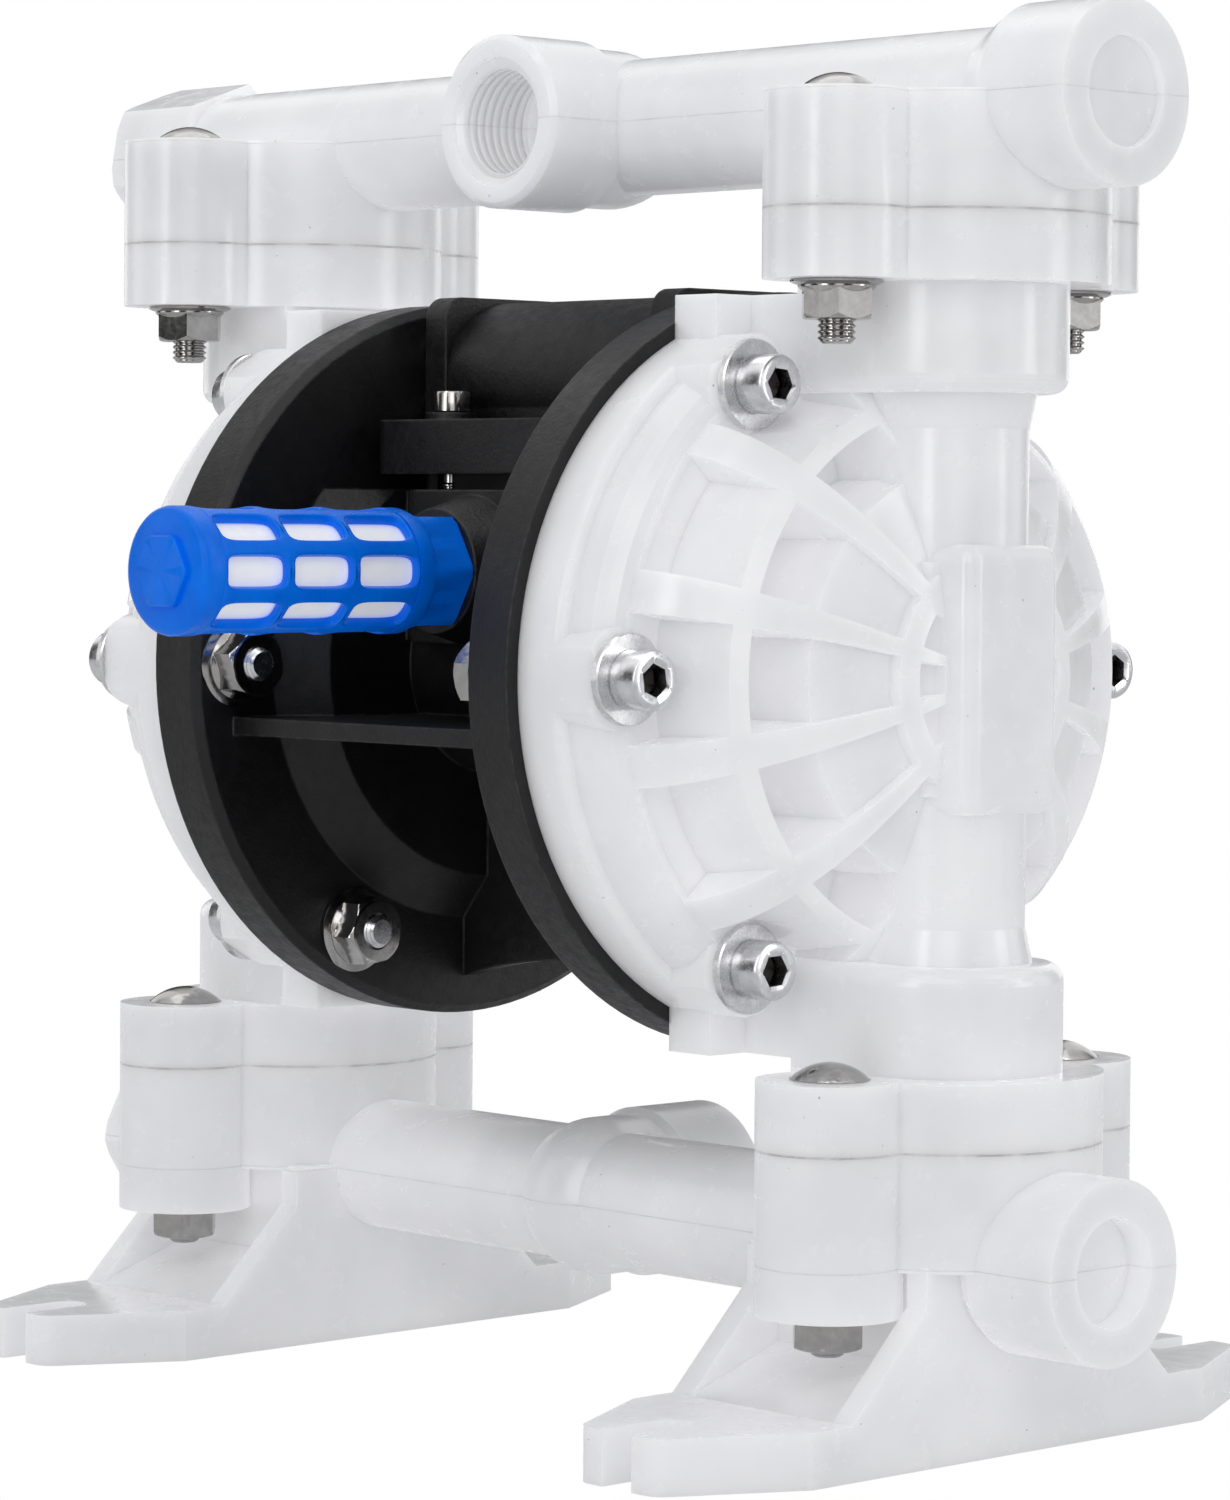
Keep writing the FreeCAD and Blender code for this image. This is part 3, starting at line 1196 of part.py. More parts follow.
def main():
    os.makedirs("parts", exist_ok=True)
    outlet_nut_seat = flange_seat_z
    outlet_head_seat = joint_z + outlet_boss_height
    outlet_bolt_length = outlet_head_seat - outlet_nut_seat + flange_nut_height + carriage_past_nut
    inlet_head_seat = -flange_seat_z
    inlet_nut_seat = -joint_z - inlet_lobe_height
    inlet_bolt_length = inlet_head_seat - inlet_nut_seat + nut_height + thread_past_nut
    cover = right_cover()
    outlet_seat, inlet_seat = valve_seat(outlet_seat_top), valve_seat(inlet_seat_top)
    outlet_ball, inlet_ball = valve_ball(outlet_ball_z), valve_ball(inlet_ball_z)
    pairs = {
        "cover": cover,
        "outlet_seat": outlet_seat,
        "inlet_seat": inlet_seat,
        "outlet_ball": outlet_ball,
        "inlet_ball": inlet_ball,
        "diaphragm": right_diaphragm(),
        "inner_plate": right_inner_plate(),
        "outer_plate": right_outer_plate(),
        "cover_screws": right_cover_screws(),
        "cover_washers": right_cover_washers(),
        "cover_nuts": right_cover_nuts(),
        "valve_cap": right_valve_cap(),
    }
    for name, shape in pairs.items():
        save("right_" + name, shape)
        save("left_" + name, mirrored(shape))
    ring_depth = o_ring_section_r + running_gap / 2
    singles = {
        "outlet_manifold": outlet_manifold(),
        "inlet_manifold": inlet_manifold(),
        "outlet_cap": tube_cap(20),
        "inlet_cap": flipped(tube_cap(-3)),
        "cap_seals": cap_seals(),
        "cover_inserts": cover_inserts(),
        "outlet_o_rings": flange_o_rings(joint_z - ring_depth),
        "inlet_o_rings": flange_o_rings(-joint_z + ring_depth),
        "outlet_flange_bolts": at_flange_bolts(
            lambda x, y: carriage_bolt(outlet_head_seat, outlet_bolt_length, x, y)),
        "outlet_flange_nuts": at_flange_bolts(lambda x, y: flange_nut_z(outlet_nut_seat, x, y)),
        "inlet_flange_bolts": at_flange_bolts(
            lambda x, y: carriage_bolt(inlet_head_seat, inlet_bolt_length, x, y)),
        "inlet_flange_nuts": at_flange_bolts(lambda x, y: plain_nut_z(inlet_nut_seat, x, y)),
        "centre_block": centre_block(),
        "muffler_cage": muffler_cage(),
        "muffler_core": muffler_core(),
        "shaft": shaft(),
        "shaft_nuts": shaft_nuts(),
        "shaft_bushes": shaft_bushes(),
        "shaft_seals": shaft_seals(),
        "pilot_bushes": pilot_bushes(),
        "pilot_rod": pilot_rod(),
        "air_valve_gasket": air_valve_gasket(),
        "air_valve_body": air_valve_body(),
        "valve_cap_rings": valve_cap_rings(),
        "valve_cap_screws": valve_cap_screws(),
        "valve_sleeve": valve_sleeve(),
        "valve_spool": valve_spool(),
        "air_valve_screws": air_valve_screws(),
    }
    for name, shape in singles.items():
        save(name, shape)


main()
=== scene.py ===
import json
import math

import bmesh
import bpy
import numpy as np
from mathutils import Matrix, Vector


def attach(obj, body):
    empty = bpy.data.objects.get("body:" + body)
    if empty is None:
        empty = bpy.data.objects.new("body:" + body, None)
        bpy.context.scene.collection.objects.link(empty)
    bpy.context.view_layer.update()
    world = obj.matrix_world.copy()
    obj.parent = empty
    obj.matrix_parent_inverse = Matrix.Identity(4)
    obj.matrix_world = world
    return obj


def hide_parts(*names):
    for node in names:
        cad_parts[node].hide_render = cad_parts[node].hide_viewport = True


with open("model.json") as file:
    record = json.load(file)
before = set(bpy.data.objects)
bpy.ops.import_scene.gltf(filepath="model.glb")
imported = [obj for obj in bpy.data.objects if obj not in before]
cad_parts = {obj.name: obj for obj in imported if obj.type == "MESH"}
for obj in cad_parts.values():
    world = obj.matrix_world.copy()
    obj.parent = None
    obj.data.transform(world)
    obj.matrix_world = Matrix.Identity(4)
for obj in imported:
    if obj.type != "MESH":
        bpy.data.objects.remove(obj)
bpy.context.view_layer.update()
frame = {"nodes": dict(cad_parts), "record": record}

nodes = frame["nodes"]
mm = 0.001
shaft_height = 0.1293
joint_height = 0.0776            # flange joints, above and below the shaft
tube_height = 0.0966             # tube axes, above and below the shaft
port_pitch = 0.001814            # half inch pipe thread
port_thread_r = 0.0101
port_thread_start = 0.0125       # from the tube axis outwards

# Cover screws, in millimetres about the shaft
screw_circle_r = 56.6
screw_angles = (0, 60, 120, 180, 240, 300)
nut_angles = (0, 180, 240, 300)
screw_head_seat_x = 67.1
screw_seat_x = 65.5
disc_inner_x = 36.0
long_screw_length = 38.9         # from under the head, through disc and nut
short_screw_length = 28.8        # into the inserts beside the air valve
screw_r = 3.0
screw_head_r, screw_head_height = 5.0, 6.0
screw_socket_flats, screw_socket_depth = 5.0, 3.2
screw_thread_length = 9.0
screw_segments = 60
washer_bore_r, washer_r, washer_thickness = 3.1, 7.7, 1.6

# Manifold bolts and all nuts, in millimetres
column_x = 85.7
bolt_y = 28.25
outlet_head_z, outlet_nut_z = 97.1, 66.0
inlet_head_z, inlet_nut_z = -66.0, -105.0
bolt_r = 3.2
bolt_thread_length = 16.0
dome_head_r, dome_head_height = 6.8, 2.9
outlet_past_nut, inlet_past_nut = 4.0, 1.2
nut_flats = 11.2
flange_nut_height, plain_nut_height = 6.6, 5.6
nut_turn = math.radians(-13.0)
nut_segments = 96
nut_sharp_deg = 14
thread_pitch = 1.0
thread_depth = 0.45

# Screws of the air valve, in millimetres
valve_screw_x, valve_screw_y, valve_screw_z = 20.0, 19.6, 45.4
valve_screw_length, valve_screw_r = 22.1, 2.0
valve_head_r, valve_head_height = 3.5, 4.0
valve_socket_flats, valve_socket_depth = 3.0, 2.0
valve_screw_turn = 0.4
valve_screw_segments = 48
socket_rows = 3                  # last rows of a screw's profile, down in the hexagonal hole

# Ring faces of the covers, in millimetres
ring_back_x, ring_face_x = 58.5, 65.3
ring_inner_r, ring_outer_r = 49.3, 55.6
ring_segments = 240

# Muffler, in millimetres
muffler_z = 17.0
muffler_end_y = -100.8
muffler_r, muffler_wall = 11.0, 1.9
muffler_edge = 0.45
muffler_cap_depth = 3.6
muffler_neck_r, muffler_neck_bore_r, muffler_neck_length = 7.6, 5.0, 12.0
muffler_segments = 72
cage_sharp_deg, ends_sharp_deg = 50, 40
window_rows, window_columns = 8, 3
window_pitch, window_length, window_first = 14.4, 12.7, 5.1
window_half_deg = 15.6
window_points = 10               # along each side of a window
muffler_hex_flats, muffler_hex_start, muffler_hex_end = 18.9, 51.6, 59.7

# View of the photograph
camera_azimuth, camera_elevation, camera_roll = (math.radians(angle) for angle in (46.98, 1.431, 0.449))
camera_target = Vector((-0.00523, 0.00468, 0.00281 + shaft_height))
camera_distance = 0.9101
camera_lens = 119.55
camera_shift_x, camera_shift_y = 0.0077, -0.0681

# Light: the room from all sides, and the strips that metal mirrors, as (direction in degrees, strength)
room_light = 0.56
mirror_strips = ((34.0, 4.2), (-83.0, 4.6))


# Camera

def place_camera():
    """Camera at azimuth, elevation and roll round a target, with the lens and shift of the photograph."""
    level = math.cos(camera_elevation)
    back = Vector((math.sin(camera_azimuth) * level, -math.cos(camera_azimuth) * level,
                   math.sin(camera_elevation)))
    side = (-back).cross(Vector((0, 0, 1))).normalized()
    above = side.cross(-back)
    right = side * math.cos(camera_roll) + above * math.sin(camera_roll)
    up = above * math.cos(camera_roll) - side * math.sin(camera_roll)
    turn = Matrix((right, up, back)).transposed()
    data = bpy.data.cameras.new("camera")
    data.sensor_fit = "AUTO"
    data.sensor_width = 36.0
    data.lens = camera_lens
    data.shift_x = camera_shift_x
    data.shift_y = camera_shift_y
    data.clip_start, data.clip_end = 0.05, 20
    camera = bpy.data.objects.new("camera", data)
    bpy.context.scene.collection.objects.link(camera)
    camera.matrix_world = Matrix.Translation(camera_target + back * camera_distance) @ turn.to_4x4()
    bpy.context.scene.camera = camera


# Materials

def new_material(name):
    """(material, its node tree, its Principled shader)."""
    material = bpy.data.materials.new(name)
    material.use_nodes = True
    tree = material.node_tree
    shader = next(node for node in tree.nodes if node.type == "BSDF_PRINCIPLED")
    return material, tree, shader


def mottle_group():
    """Node group of all finishes: noise in object coordinates, in metres, mapped from one range to another."""
    group = bpy.data.node_groups.new("mottle", "ShaderNodeTree")
    for name in ("Scale", "Detail", "From Low", "From High", "To Low", "To High"):
        group.interface.new_socket(name, in_out="INPUT", socket_type="NodeSocketFloat")
    group.interface.new_socket("Value", in_out="OUTPUT", socket_type="NodeSocketFloat")
    given = group.nodes.new("NodeGroupInput")
    result = group.nodes.new("NodeGroupOutput")
    place = group.nodes.new("ShaderNodeTexCoord")
    cloud = group.nodes.new("ShaderNodeTexNoise")
    cloud.inputs["Roughness"].default_value = 0.55
    mapped = group.nodes.new("ShaderNodeMapRange")
    group.links.new(place.outputs["Object"], cloud.inputs["Vector"])
    group.links.new(given.outputs["Scale"], cloud.inputs["Scale"])
    group.links.new(given.outputs["Detail"], cloud.inputs["Detail"])
    group.links.new(cloud.outputs["Fac"], mapped.inputs["Value"])
    for name, socket in (("From Low", "From Min"), ("From High", "From Max"), ("To Low", "To Min"),
                         ("To High", "To Max")):
        group.links.new(given.outputs[name], mapped.inputs[socket])
    group.links.new(mapped.outputs["Result"], result.inputs["Value"])
    return group


def mottle(tree, scale, low, high, from_low=0.3, from_high=0.7, detail=3.0):
    """Patches of that scale: the part of the noise from from_low to from_high, spread over low to high."""
    node = tree.nodes.new("ShaderNodeGroup")
    node.node_tree = mottle_nodes
    for name, value in (("Scale", scale), ("Detail", detail), ("From Low", from_low), ("From High", from_high),
                        ("To Low", low), ("To High", high)):
        node.inputs[name].default_value = value
    return node.outputs["Value"]


def grain_height(tree, scale, detail=3.0):
    """Height of a grain of that scale, the noise as it is."""
    return mottle(tree, scale, 0.0, 1.0, 0.0, 1.0, detail)


def ramp(tree, value, low, high, from_low, from_high):
    """Maps a value from one range to another."""
    node = tree.nodes.new("ShaderNodeMapRange")
    node.inputs["From Min"].default_value = from_low
    node.inputs["From Max"].default_value = from_high
    node.inputs["To Min"].default_value = low
    node.inputs["To Max"].default_value = high
    tree.links.new(value, node.inputs["Value"])
    return node.outputs["Result"]


def math_node(tree, operation, *values):
    """Math node on numbers and sockets."""
    node = tree.nodes.new("ShaderNodeMath")
    node.operation = operation
    for index, value in enumerate(values):
        if isinstance(value, (int, float)):
            node.inputs[index].default_value = value
        else:
            tree.links.new(value, node.inputs[index])
    return node.outputs["Value"]


def mix_colour(tree, factor, first, second):
    """Mix of two colours, each a tuple or a socket."""
    node = tree.nodes.new("ShaderNodeMix")
    node.data_type = "RGBA"
    tree.links.new(factor, node.inputs["Factor"])
    for socket, colour in (("A", first), ("B", second)):
        target = next(s for s in node.inputs if s.name == socket and s.type == "RGBA")
        if isinstance(colour, tuple):
            target.default_value = (*colour, 1.0)
        else:
            tree.links.new(colour, target)
    return next(s for s in node.outputs if s.type == "RGBA")


def relief(tree, height, strength, distance, normal=None):
    """Bump of a height, over the bumps that normal already has."""
    bump = tree.nodes.new("ShaderNodeBump")
    bump.inputs["Strength"].default_value = strength
    bump.inputs["Distance"].default_value = distance
    tree.links.new(height, bump.inputs["Height"])
    if normal is not None:
        tree.links.new(normal, bump.inputs["Normal"])
    return bump.outputs["Normal"]


def object_axes(tree):
    """X, Y and Z of the object coordinates."""
    place = tree.nodes.new("ShaderNodeTexCoord")
    split = tree.nodes.new("ShaderNodeSeparateXYZ")
    tree.links.new(place.outputs["Object"], split.inputs["Vector"])
    return [split.outputs[name] for name in "XYZ"]


def port_threads(tree):
    """Thread of the two pipe ports: cos(2 pi y / pitch + angle) near each port axis, else 0."""
    x, y, z = object_axes(tree)
    bands = None
    for height, side in ((shaft_height + tube_height, -1), (shaft_height - tube_height, 1)):
        up = math_node(tree, "SUBTRACT", z, height)
        square = math_node(tree, "ADD", math_node(tree, "MULTIPLY", x, x), math_node(tree, "MULTIPLY", up, up))
        near = math_node(tree, "LESS_THAN", math_node(tree, "SQRT", square), port_thread_r)
        outside = math_node(tree, "GREATER_THAN", math_node(tree, "MULTIPLY", y, side), port_thread_start)
        inside = math_node(tree, "MULTIPLY", near, outside)
        angle = math_node(tree, "ARCTAN2", up, x)
        phase = math_node(tree, "MULTIPLY_ADD", y, 2 * math.pi / port_pitch, angle)
        ridge = math_node(tree, "MULTIPLY", math_node(tree, "COSINE", phase), inside)
        bands = ridge if bands is None else math_node(tree, "ADD", bands, ridge)
    return bands


def seam_lines(tree):
    """Thin lines at four heights: the two flange joints and the mould seams through both tube axes."""
    height = object_axes(tree)[2]
    rise = math_node(tree, "ABSOLUTE", math_node(tree, "SUBTRACT", height, shaft_height))
    joint = math_node(tree, "ABSOLUTE", math_node(tree, "SUBTRACT", rise, joint_height))
    mould = math_node(tree, "ABSOLUTE", math_node(tree, "SUBTRACT", rise, tube_height))
    return math_node(tree, "MAXIMUM", ramp(tree, joint, 1.0, 0.0, 0.00011, 0.00022),
                     ramp(tree, mould, 0.35, 0.0, 0.00006, 0.00012))


def milky_plastic():
    """Natural polypropylene: white, with flow clouds, a few specks, seams, pipe threads with painted shade in
    their roots, and a painted glow for light let through.
    """
    material, tree, shader = new_material("milky_plastic")
    cloud = math_node(tree, "ADD", mottle(tree, 30.0, 0.0, 0.85), mottle(tree, 110.0, 0.0, 0.15))
    clear = mix_colour(tree, cloud, (0.75, 0.755, 0.765), (0.885, 0.885, 0.90))
    speck = mottle(tree, 900.0, 0.0, 0.7, 0.80, 0.84, 1.0)
    marked = mix_colour(tree, speck, clear, (0.25, 0.24, 0.23))
    seams = seam_lines(tree)
    broken = math_node(tree, "MULTIPLY", seams, mottle(tree, 150.0, 0.25, 1.0, 0.35, 0.6))
    seamed = mix_colour(tree, broken, marked, (0.36, 0.36, 0.37))
    threads = port_threads(tree)
    # Painted shade: the roots of the port threads are mixed darker.
    thread_root_shade = ramp(tree, threads, 0.55, 0.0, -1.0, 0.0)
    tree.links.new(mix_colour(tree, thread_root_shade, seamed, (0.45, 0.455, 0.46)), shader.inputs["Base Color"])
    tree.links.new(mottle(tree, 220.0, 0.16, 0.30), shader.inputs["Roughness"])
    shader.inputs["Subsurface Weight"].default_value = 1.0
    shader.inputs["Subsurface Radius"].default_value = (1.0, 1.0, 1.0)
    shader.inputs["Subsurface Scale"].default_value = 0.005
    shader.inputs["IOR"].default_value = 1.49
    # Painted glow: a white emission that lifts the shaded pockets, in place of light let through the plastic.
    shader.inputs["Emission Color"].default_value = (1.0, 0.99, 1.0, 1.0)
    shader.inputs["Emission Strength"].default_value = 0.15
    skin = relief(tree, grain_height(tree, 160.0, 2.0), 0.10, 0.0006)
    grooves = math_node(tree, "SUBTRACT", threads, seams)
    tree.links.new(relief(tree, grooves, 0.8, 0.0006, skin), shader.inputs["Normal"])
    return material


def black_plastic():
    """Filled black plastic with a fine grain, greyer scuffed patches and a painted highlight along its edges."""
    material, tree, shader = new_material("black_plastic")
    patch = mottle(tree, 60.0, 0.0, 1.0, 0.35, 0.75, 4.0)
    plain = mix_colour(tree, patch, (0.0035, 0.0035, 0.004), (0.008, 0.008, 0.0092))
    bevel = tree.nodes.new("ShaderNodeBevel")
    bevel.samples = 4
    bevel.inputs["Radius"].default_value = 0.0007
    face = tree.nodes.new("ShaderNodeNewGeometry")
    turn = tree.nodes.new("ShaderNodeVectorMath")
    turn.operation = "DOT_PRODUCT"
    tree.links.new(bevel.outputs["Normal"], turn.inputs[0])
    tree.links.new(face.outputs["Normal"], turn.inputs[1])
    # Painted highlight: where the bevel normal turns from the face normal, at the edges, the colour is mixed
    # lighter, broken up by noise.
    edge = ramp(tree, turn.outputs["Value"], 1.0, 0.0, 0.80, 0.97)
    edge_highlight = math_node(tree, "MULTIPLY", edge, mottle(tree, 350.0, 0.1, 1.0, 0.40, 0.62, 4.0))
    tree.links.new(mix_colour(tree, edge_highlight, plain, (0.075, 0.073, 0.070)), shader.inputs["Base Color"])
    shader.inputs["Specular IOR Level"].default_value = 0.38
    tree.links.new(mottle(tree, 500.0, 0.36, 0.54, detail=5.0), shader.inputs["Roughness"])
    grain = relief(tree, grain_height(tree, 1500.0, 4.0), 0.35, 0.0003, bevel.outputs["Normal"])
    tree.links.new(grain, shader.inputs["Normal"])
    return material


def bright_steel(name, colour, low, high, grain=0.06):
    """Stainless steel with fine turning marks, and painted shade where the mesh value "dark" says so."""
    material, tree, shader = new_material(name)
    dull = tuple(0.8 * value for value in colour)
    clean = mix_colour(tree, mottle(tree, 420.0, 0.0, 1.0, detail=4.0), dull, colour)
    dark = tree.nodes.new("ShaderNodeAttribute")
    dark.attribute_name = "dark"
    # Painted shade: points down in the hexagonal hole of a screw are mixed towards near black.
    socket_shade = mix_colour(tree, dark.outputs["Fac"], clean, (0.035, 0.032, 0.030))
    tree.links.new(socket_shade, shader.inputs["Base Color"])
    shader.inputs["Metallic"].default_value = 1.0
    tree.links.new(mottle(tree, 900.0, low, high, detail=4.0), shader.inputs["Roughness"])
    tree.links.new(relief(tree, grain_height(tree, 2500.0, 2.0), grain, 0.0001), shader.inputs["Normal"])
    return material


def simple_material(name, colour, roughness, grain, metallic=0.0, painted_glow=0.0):
    """Plain finish with a little variation in colour, gloss and surface; its last argument is a painted glow that
    stands for light let through.
    """
    material, tree, shader = new_material(name)
    # Painted glow: a white emission of the given strength.
    shader.inputs["Emission Color"].default_value = (1.0, 1.0, 1.0, 1.0)
    shader.inputs["Emission Strength"].default_value = painted_glow
    shade = tuple(0.88 * value for value in colour)
    cloud = mottle(tree, grain * 0.2, 0.0, 1.0)
    tree.links.new(mix_colour(tree, cloud, shade, colour), shader.inputs["Base Color"])
    shader.inputs["Metallic"].default_value = metallic
    tree.links.new(mottle(tree, grain, roughness - 0.06, roughness + 0.06), shader.inputs["Roughness"])
    tree.links.new(relief(tree, grain_height(tree, grain * 2), 0.1, 0.0002), shader.inputs["Normal"])
    return material


def blue_plastic():
    """Glossy blue moulded plastic with faint flow marks, and a painted blue glow."""
    material, tree, shader = new_material("blue_plastic")
    cloud = mottle(tree, 120.0, 0.0, 1.0)
    tree.links.new(mix_colour(tree, cloud, (0.0, 0.14, 0.76), (0.0, 0.19, 0.90)), shader.inputs["Base Color"])
    shader.inputs["Specular IOR Level"].default_value = 0.16
    # Painted glow: a blue emission that lifts the shading of the muffler.
    shader.inputs["Emission Color"].default_value = (0.0, 0.14, 0.85, 1.0)
    shader.inputs["Emission Strength"].default_value = 0.12
    tree.links.new(mottle(tree, 300.0, 0.24, 0.36), shader.inputs["Roughness"])
    tree.links.new(relief(tree, grain_height(tree, 400.0, 2.0), 0.08, 0.0003), shader.inputs["Normal"])
    return material


def finish_nodes():
    """Gives each CAD node its material by the record's slot."""
    made = {
        "clear_plastic": milky_plastic(),
        "black_plastic": black_plastic(),
        "blue_plastic": blue_plastic(),
        # The felt gets a painted glow, in place of light let through it.
        "white_felt": simple_material("white_felt", (0.92, 0.92, 0.92), 0.9, 2500.0, 0.0, 0.28),
        "screw_steel": bright_steel("screw_steel", (0.78, 0.78, 0.80), 0.18, 0.30),
        "bolt_steel": bright_steel("bolt_steel", (0.44, 0.43, 0.42), 0.10, 0.20, 0.04),
        "washer_steel": bright_steel("washer_steel", (0.78, 0.78, 0.79), 0.20, 0.34),
        "shaft_steel": bright_steel("shaft_steel", (0.60, 0.60, 0.60), 0.12, 0.22),
        "plate_metal": bright_steel("plate_metal", (0.72, 0.72, 0.73), 0.28, 0.42),
        "seat_plastic": simple_material("seat_plastic", (0.70, 0.71, 0.72), 0.4, 400.0),
        "bush_plastic": simple_material("bush_plastic", (0.78, 0.76, 0.70), 0.45, 400.0),
        "sleeve_brass": simple_material("sleeve_brass", (0.72, 0.50, 0.22), 0.25, 900.0, 1.0),
        "spool_aluminium": simple_material("spool_aluminium", (0.72, 0.72, 0.73), 0.25, 900.0, 1.0),
        "ball_rubber": simple_material("ball_rubber", (0.85, 0.85, 0.83), 0.35, 300.0),
        "diaphragm_rubber": simple_material("diaphragm_rubber", (0.82, 0.81, 0.78), 0.5, 500.0),
        "seal_rubber": simple_material("seal_rubber", (0.02, 0.02, 0.02), 0.5, 600.0),
    }
    for part in frame["record"]["subparts"]:
        mesh = nodes[part["node"]].data
        mesh.materials.clear()
        mesh.materials.append(made[part["material_slot"]])
    return made


# Studio

def studio():
    """White room with large soft lamps. Reflections see darker gaps between its bright panels and two strips."""
    scene = bpy.context.scene
    scene.view_settings.view_transform = "Standard"
    world = bpy.data.worlds.new("studio")
    scene.world = world
    world.use_nodes = True
    tree = world.node_tree
    tree.nodes.clear()
    output = tree.nodes.new("ShaderNodeOutputWorld")
    path = tree.nodes.new("ShaderNodeLightPath")
    place = tree.nodes.new("ShaderNodeTexCoord")
    split = tree.nodes.new("ShaderNodeSeparateXYZ")
    tree.links.new(place.outputs["Generated"], split.inputs["Vector"])
    turn = math_node(tree, "ARCTAN2", split.outputs["Y"], split.outputs["X"])
    waves = math_node(tree, "SINE", math_node(tree, "MULTIPLY", turn, 7.0))
    overhead = ramp(tree, split.outputs["Z"], 0.0, 1.0, 0.35, 0.75)
    mirror = math_node(tree, "MAXIMUM", ramp(tree, waves, 0.06, 1.15, -0.20, 0.30), overhead)
    for middle, strength in mirror_strips:
        facing = math_node(tree, "COSINE", math_node(tree, "SUBTRACT", turn, math.radians(middle)))
        mirror = math_node(tree, "MAXIMUM", mirror, ramp(tree, facing, 0.0, strength, 0.986, 0.9975))
    room, reflected, seen = (tree.nodes.new("ShaderNodeBackground") for _ in range(3))
    room.inputs["Color"].default_value = (0.97, 0.98, 1.0, 1)
    room.inputs["Strength"].default_value = room_light
    reflected.inputs["Color"].default_value = (1, 1, 1, 1)
    tree.links.new(mirror, reflected.inputs["Strength"])
    seen.inputs["Color"].default_value = (1, 1, 1, 1)
    seen.inputs["Strength"].default_value = 1.0
    light = mix_shader(tree, path.outputs["Is Glossy Ray"], room.outputs["Background"],
                       reflected.outputs["Background"])
    shown = mix_shader(tree, path.outputs["Is Camera Ray"], light, seen.outputs["Background"])
    tree.links.new(shown, output.inputs["Surface"])
    lamp("key", (0.75, -0.85, 0.75), (0.7, 0.7), 2.3, (1.0, 0.99, 0.98))
    lamp("top", (-0.2, 0.1, 1.1), (0.8, 0.8), 1.3, (1.0, 1.0, 1.0))


def mix_shader(tree, factor, first, second):
    """First shader where the factor is 0, second where it is 1."""
    node = tree.nodes.new("ShaderNodeMixShader")
    tree.links.new(factor, node.inputs["Fac"])
    tree.links.new(first, node.inputs[1])
    tree.links.new(second, node.inputs[2])
    return node.outputs["Shader"]


def lamp(name, place, size, power, colour):
    """Rectangular lamp that faces the middle of the object."""
    data = bpy.data.lights.new(name, "AREA")
    data.shape = "RECTANGLE"
    data.size, data.size_y = size
    data.energy = power
    data.color = colour
    thing = bpy.data.objects.new(name, data)
    bpy.context.scene.collection.objects.link(thing)
    middle = Vector((0, 0, 0.12))
    thing.location = place
    thing.rotation_mode = "QUATERNION"
    thing.rotation_quaternion = (middle - Vector(place)).to_track_quat("-Z", "Y")


def floor():
    """Pale floor under the feet, white to the camera."""
    mesh = bpy.data.meshes.new("floor")
    reach = 3.0
    mesh.from_pydata([(-reach, -reach, 0), (reach, -reach, 0), (reach, reach, 0), (-reach, reach, 0)], [],
                     [(0, 1, 2, 3)])
    thing = bpy.data.objects.new("floor", mesh)
    bpy.context.scene.collection.objects.link(thing)
    thing.location.z = -0.0005
    material, tree, shader = new_material("floor")
    shader.inputs["Base Color"].default_value = (0.9, 0.9, 0.9, 1)
    shader.inputs["Roughness"].default_value = 0.9
    white = tree.nodes.new("ShaderNodeEmission")
    path = tree.nodes.new("ShaderNodeLightPath")
    output = next(node for node in tree.nodes if node.type == "OUTPUT_MATERIAL")
    shown = mix_shader(tree, path.outputs["Is Camera Ray"], shader.outputs["BSDF"], white.outputs["Emission"])
    tree.links.new(shown, output.inputs["Surface"])
    mesh.materials.append(material)


# Surfaces

directions = {
    "+x": ((1, 0, 0), (0, 1, 0), (0, 0, 1)),
    "-x": ((-1, 0, 0), (0, 1, 0), (0, 0, 1)),
    "+y": ((0, 1, 0), (1, 0, 0), (0, 0, 1)),
    "+z": ((0, 0, 1), (1, 0, 0), (0, 1, 0)),
    "-z": ((0, 0, -1), (1, 0, 0), (0, 1, 0)),
}


def section(theta, round_r, flats=None, least_r=0.0):
    """Radius at angle theta: flats / 2 / cos(t) kept between least_r and round_r, t = theta within one side."""
    if flats is None:
        return np.full_like(theta, round_r)
    folded = np.mod(theta + math.pi / 6, math.pi / 3) - math.pi / 6
    return np.clip(flats / 2 / np.cos(folded), least_r, round_r)


def grid_faces(rows, columns):
    """Quads between the rows of a grid that closes round its columns."""
    here = np.arange(columns)
    after = (here + 1) % columns
    low = (np.arange(rows - 1) * columns)[:, None]
    high = low + columns
    return np.stack([low + here, low + after, high + after, high + here], 2).reshape(-1, 4)


def turned(rows, place, direction, turn=0.0, segments=48):
    """Grid P(i, j) = place + h_i * along + r_i(theta_j) * (cos * side + sin * up), rows of (h, section)."""
    along, side, up = (np.array(axis, float) for axis in directions[direction])
    theta = np.arange(segments) * 2 * math.pi / segments
    around = np.cos(theta + turn)[:, None] * side + np.sin(theta + turn)[:, None] * up
    rings = [np.array(place, float) + row[0] * along + section(theta, *row[1:])[:, None] * around for row in rows]
    return np.concatenate(rings), grid_faces(len(rows), segments)


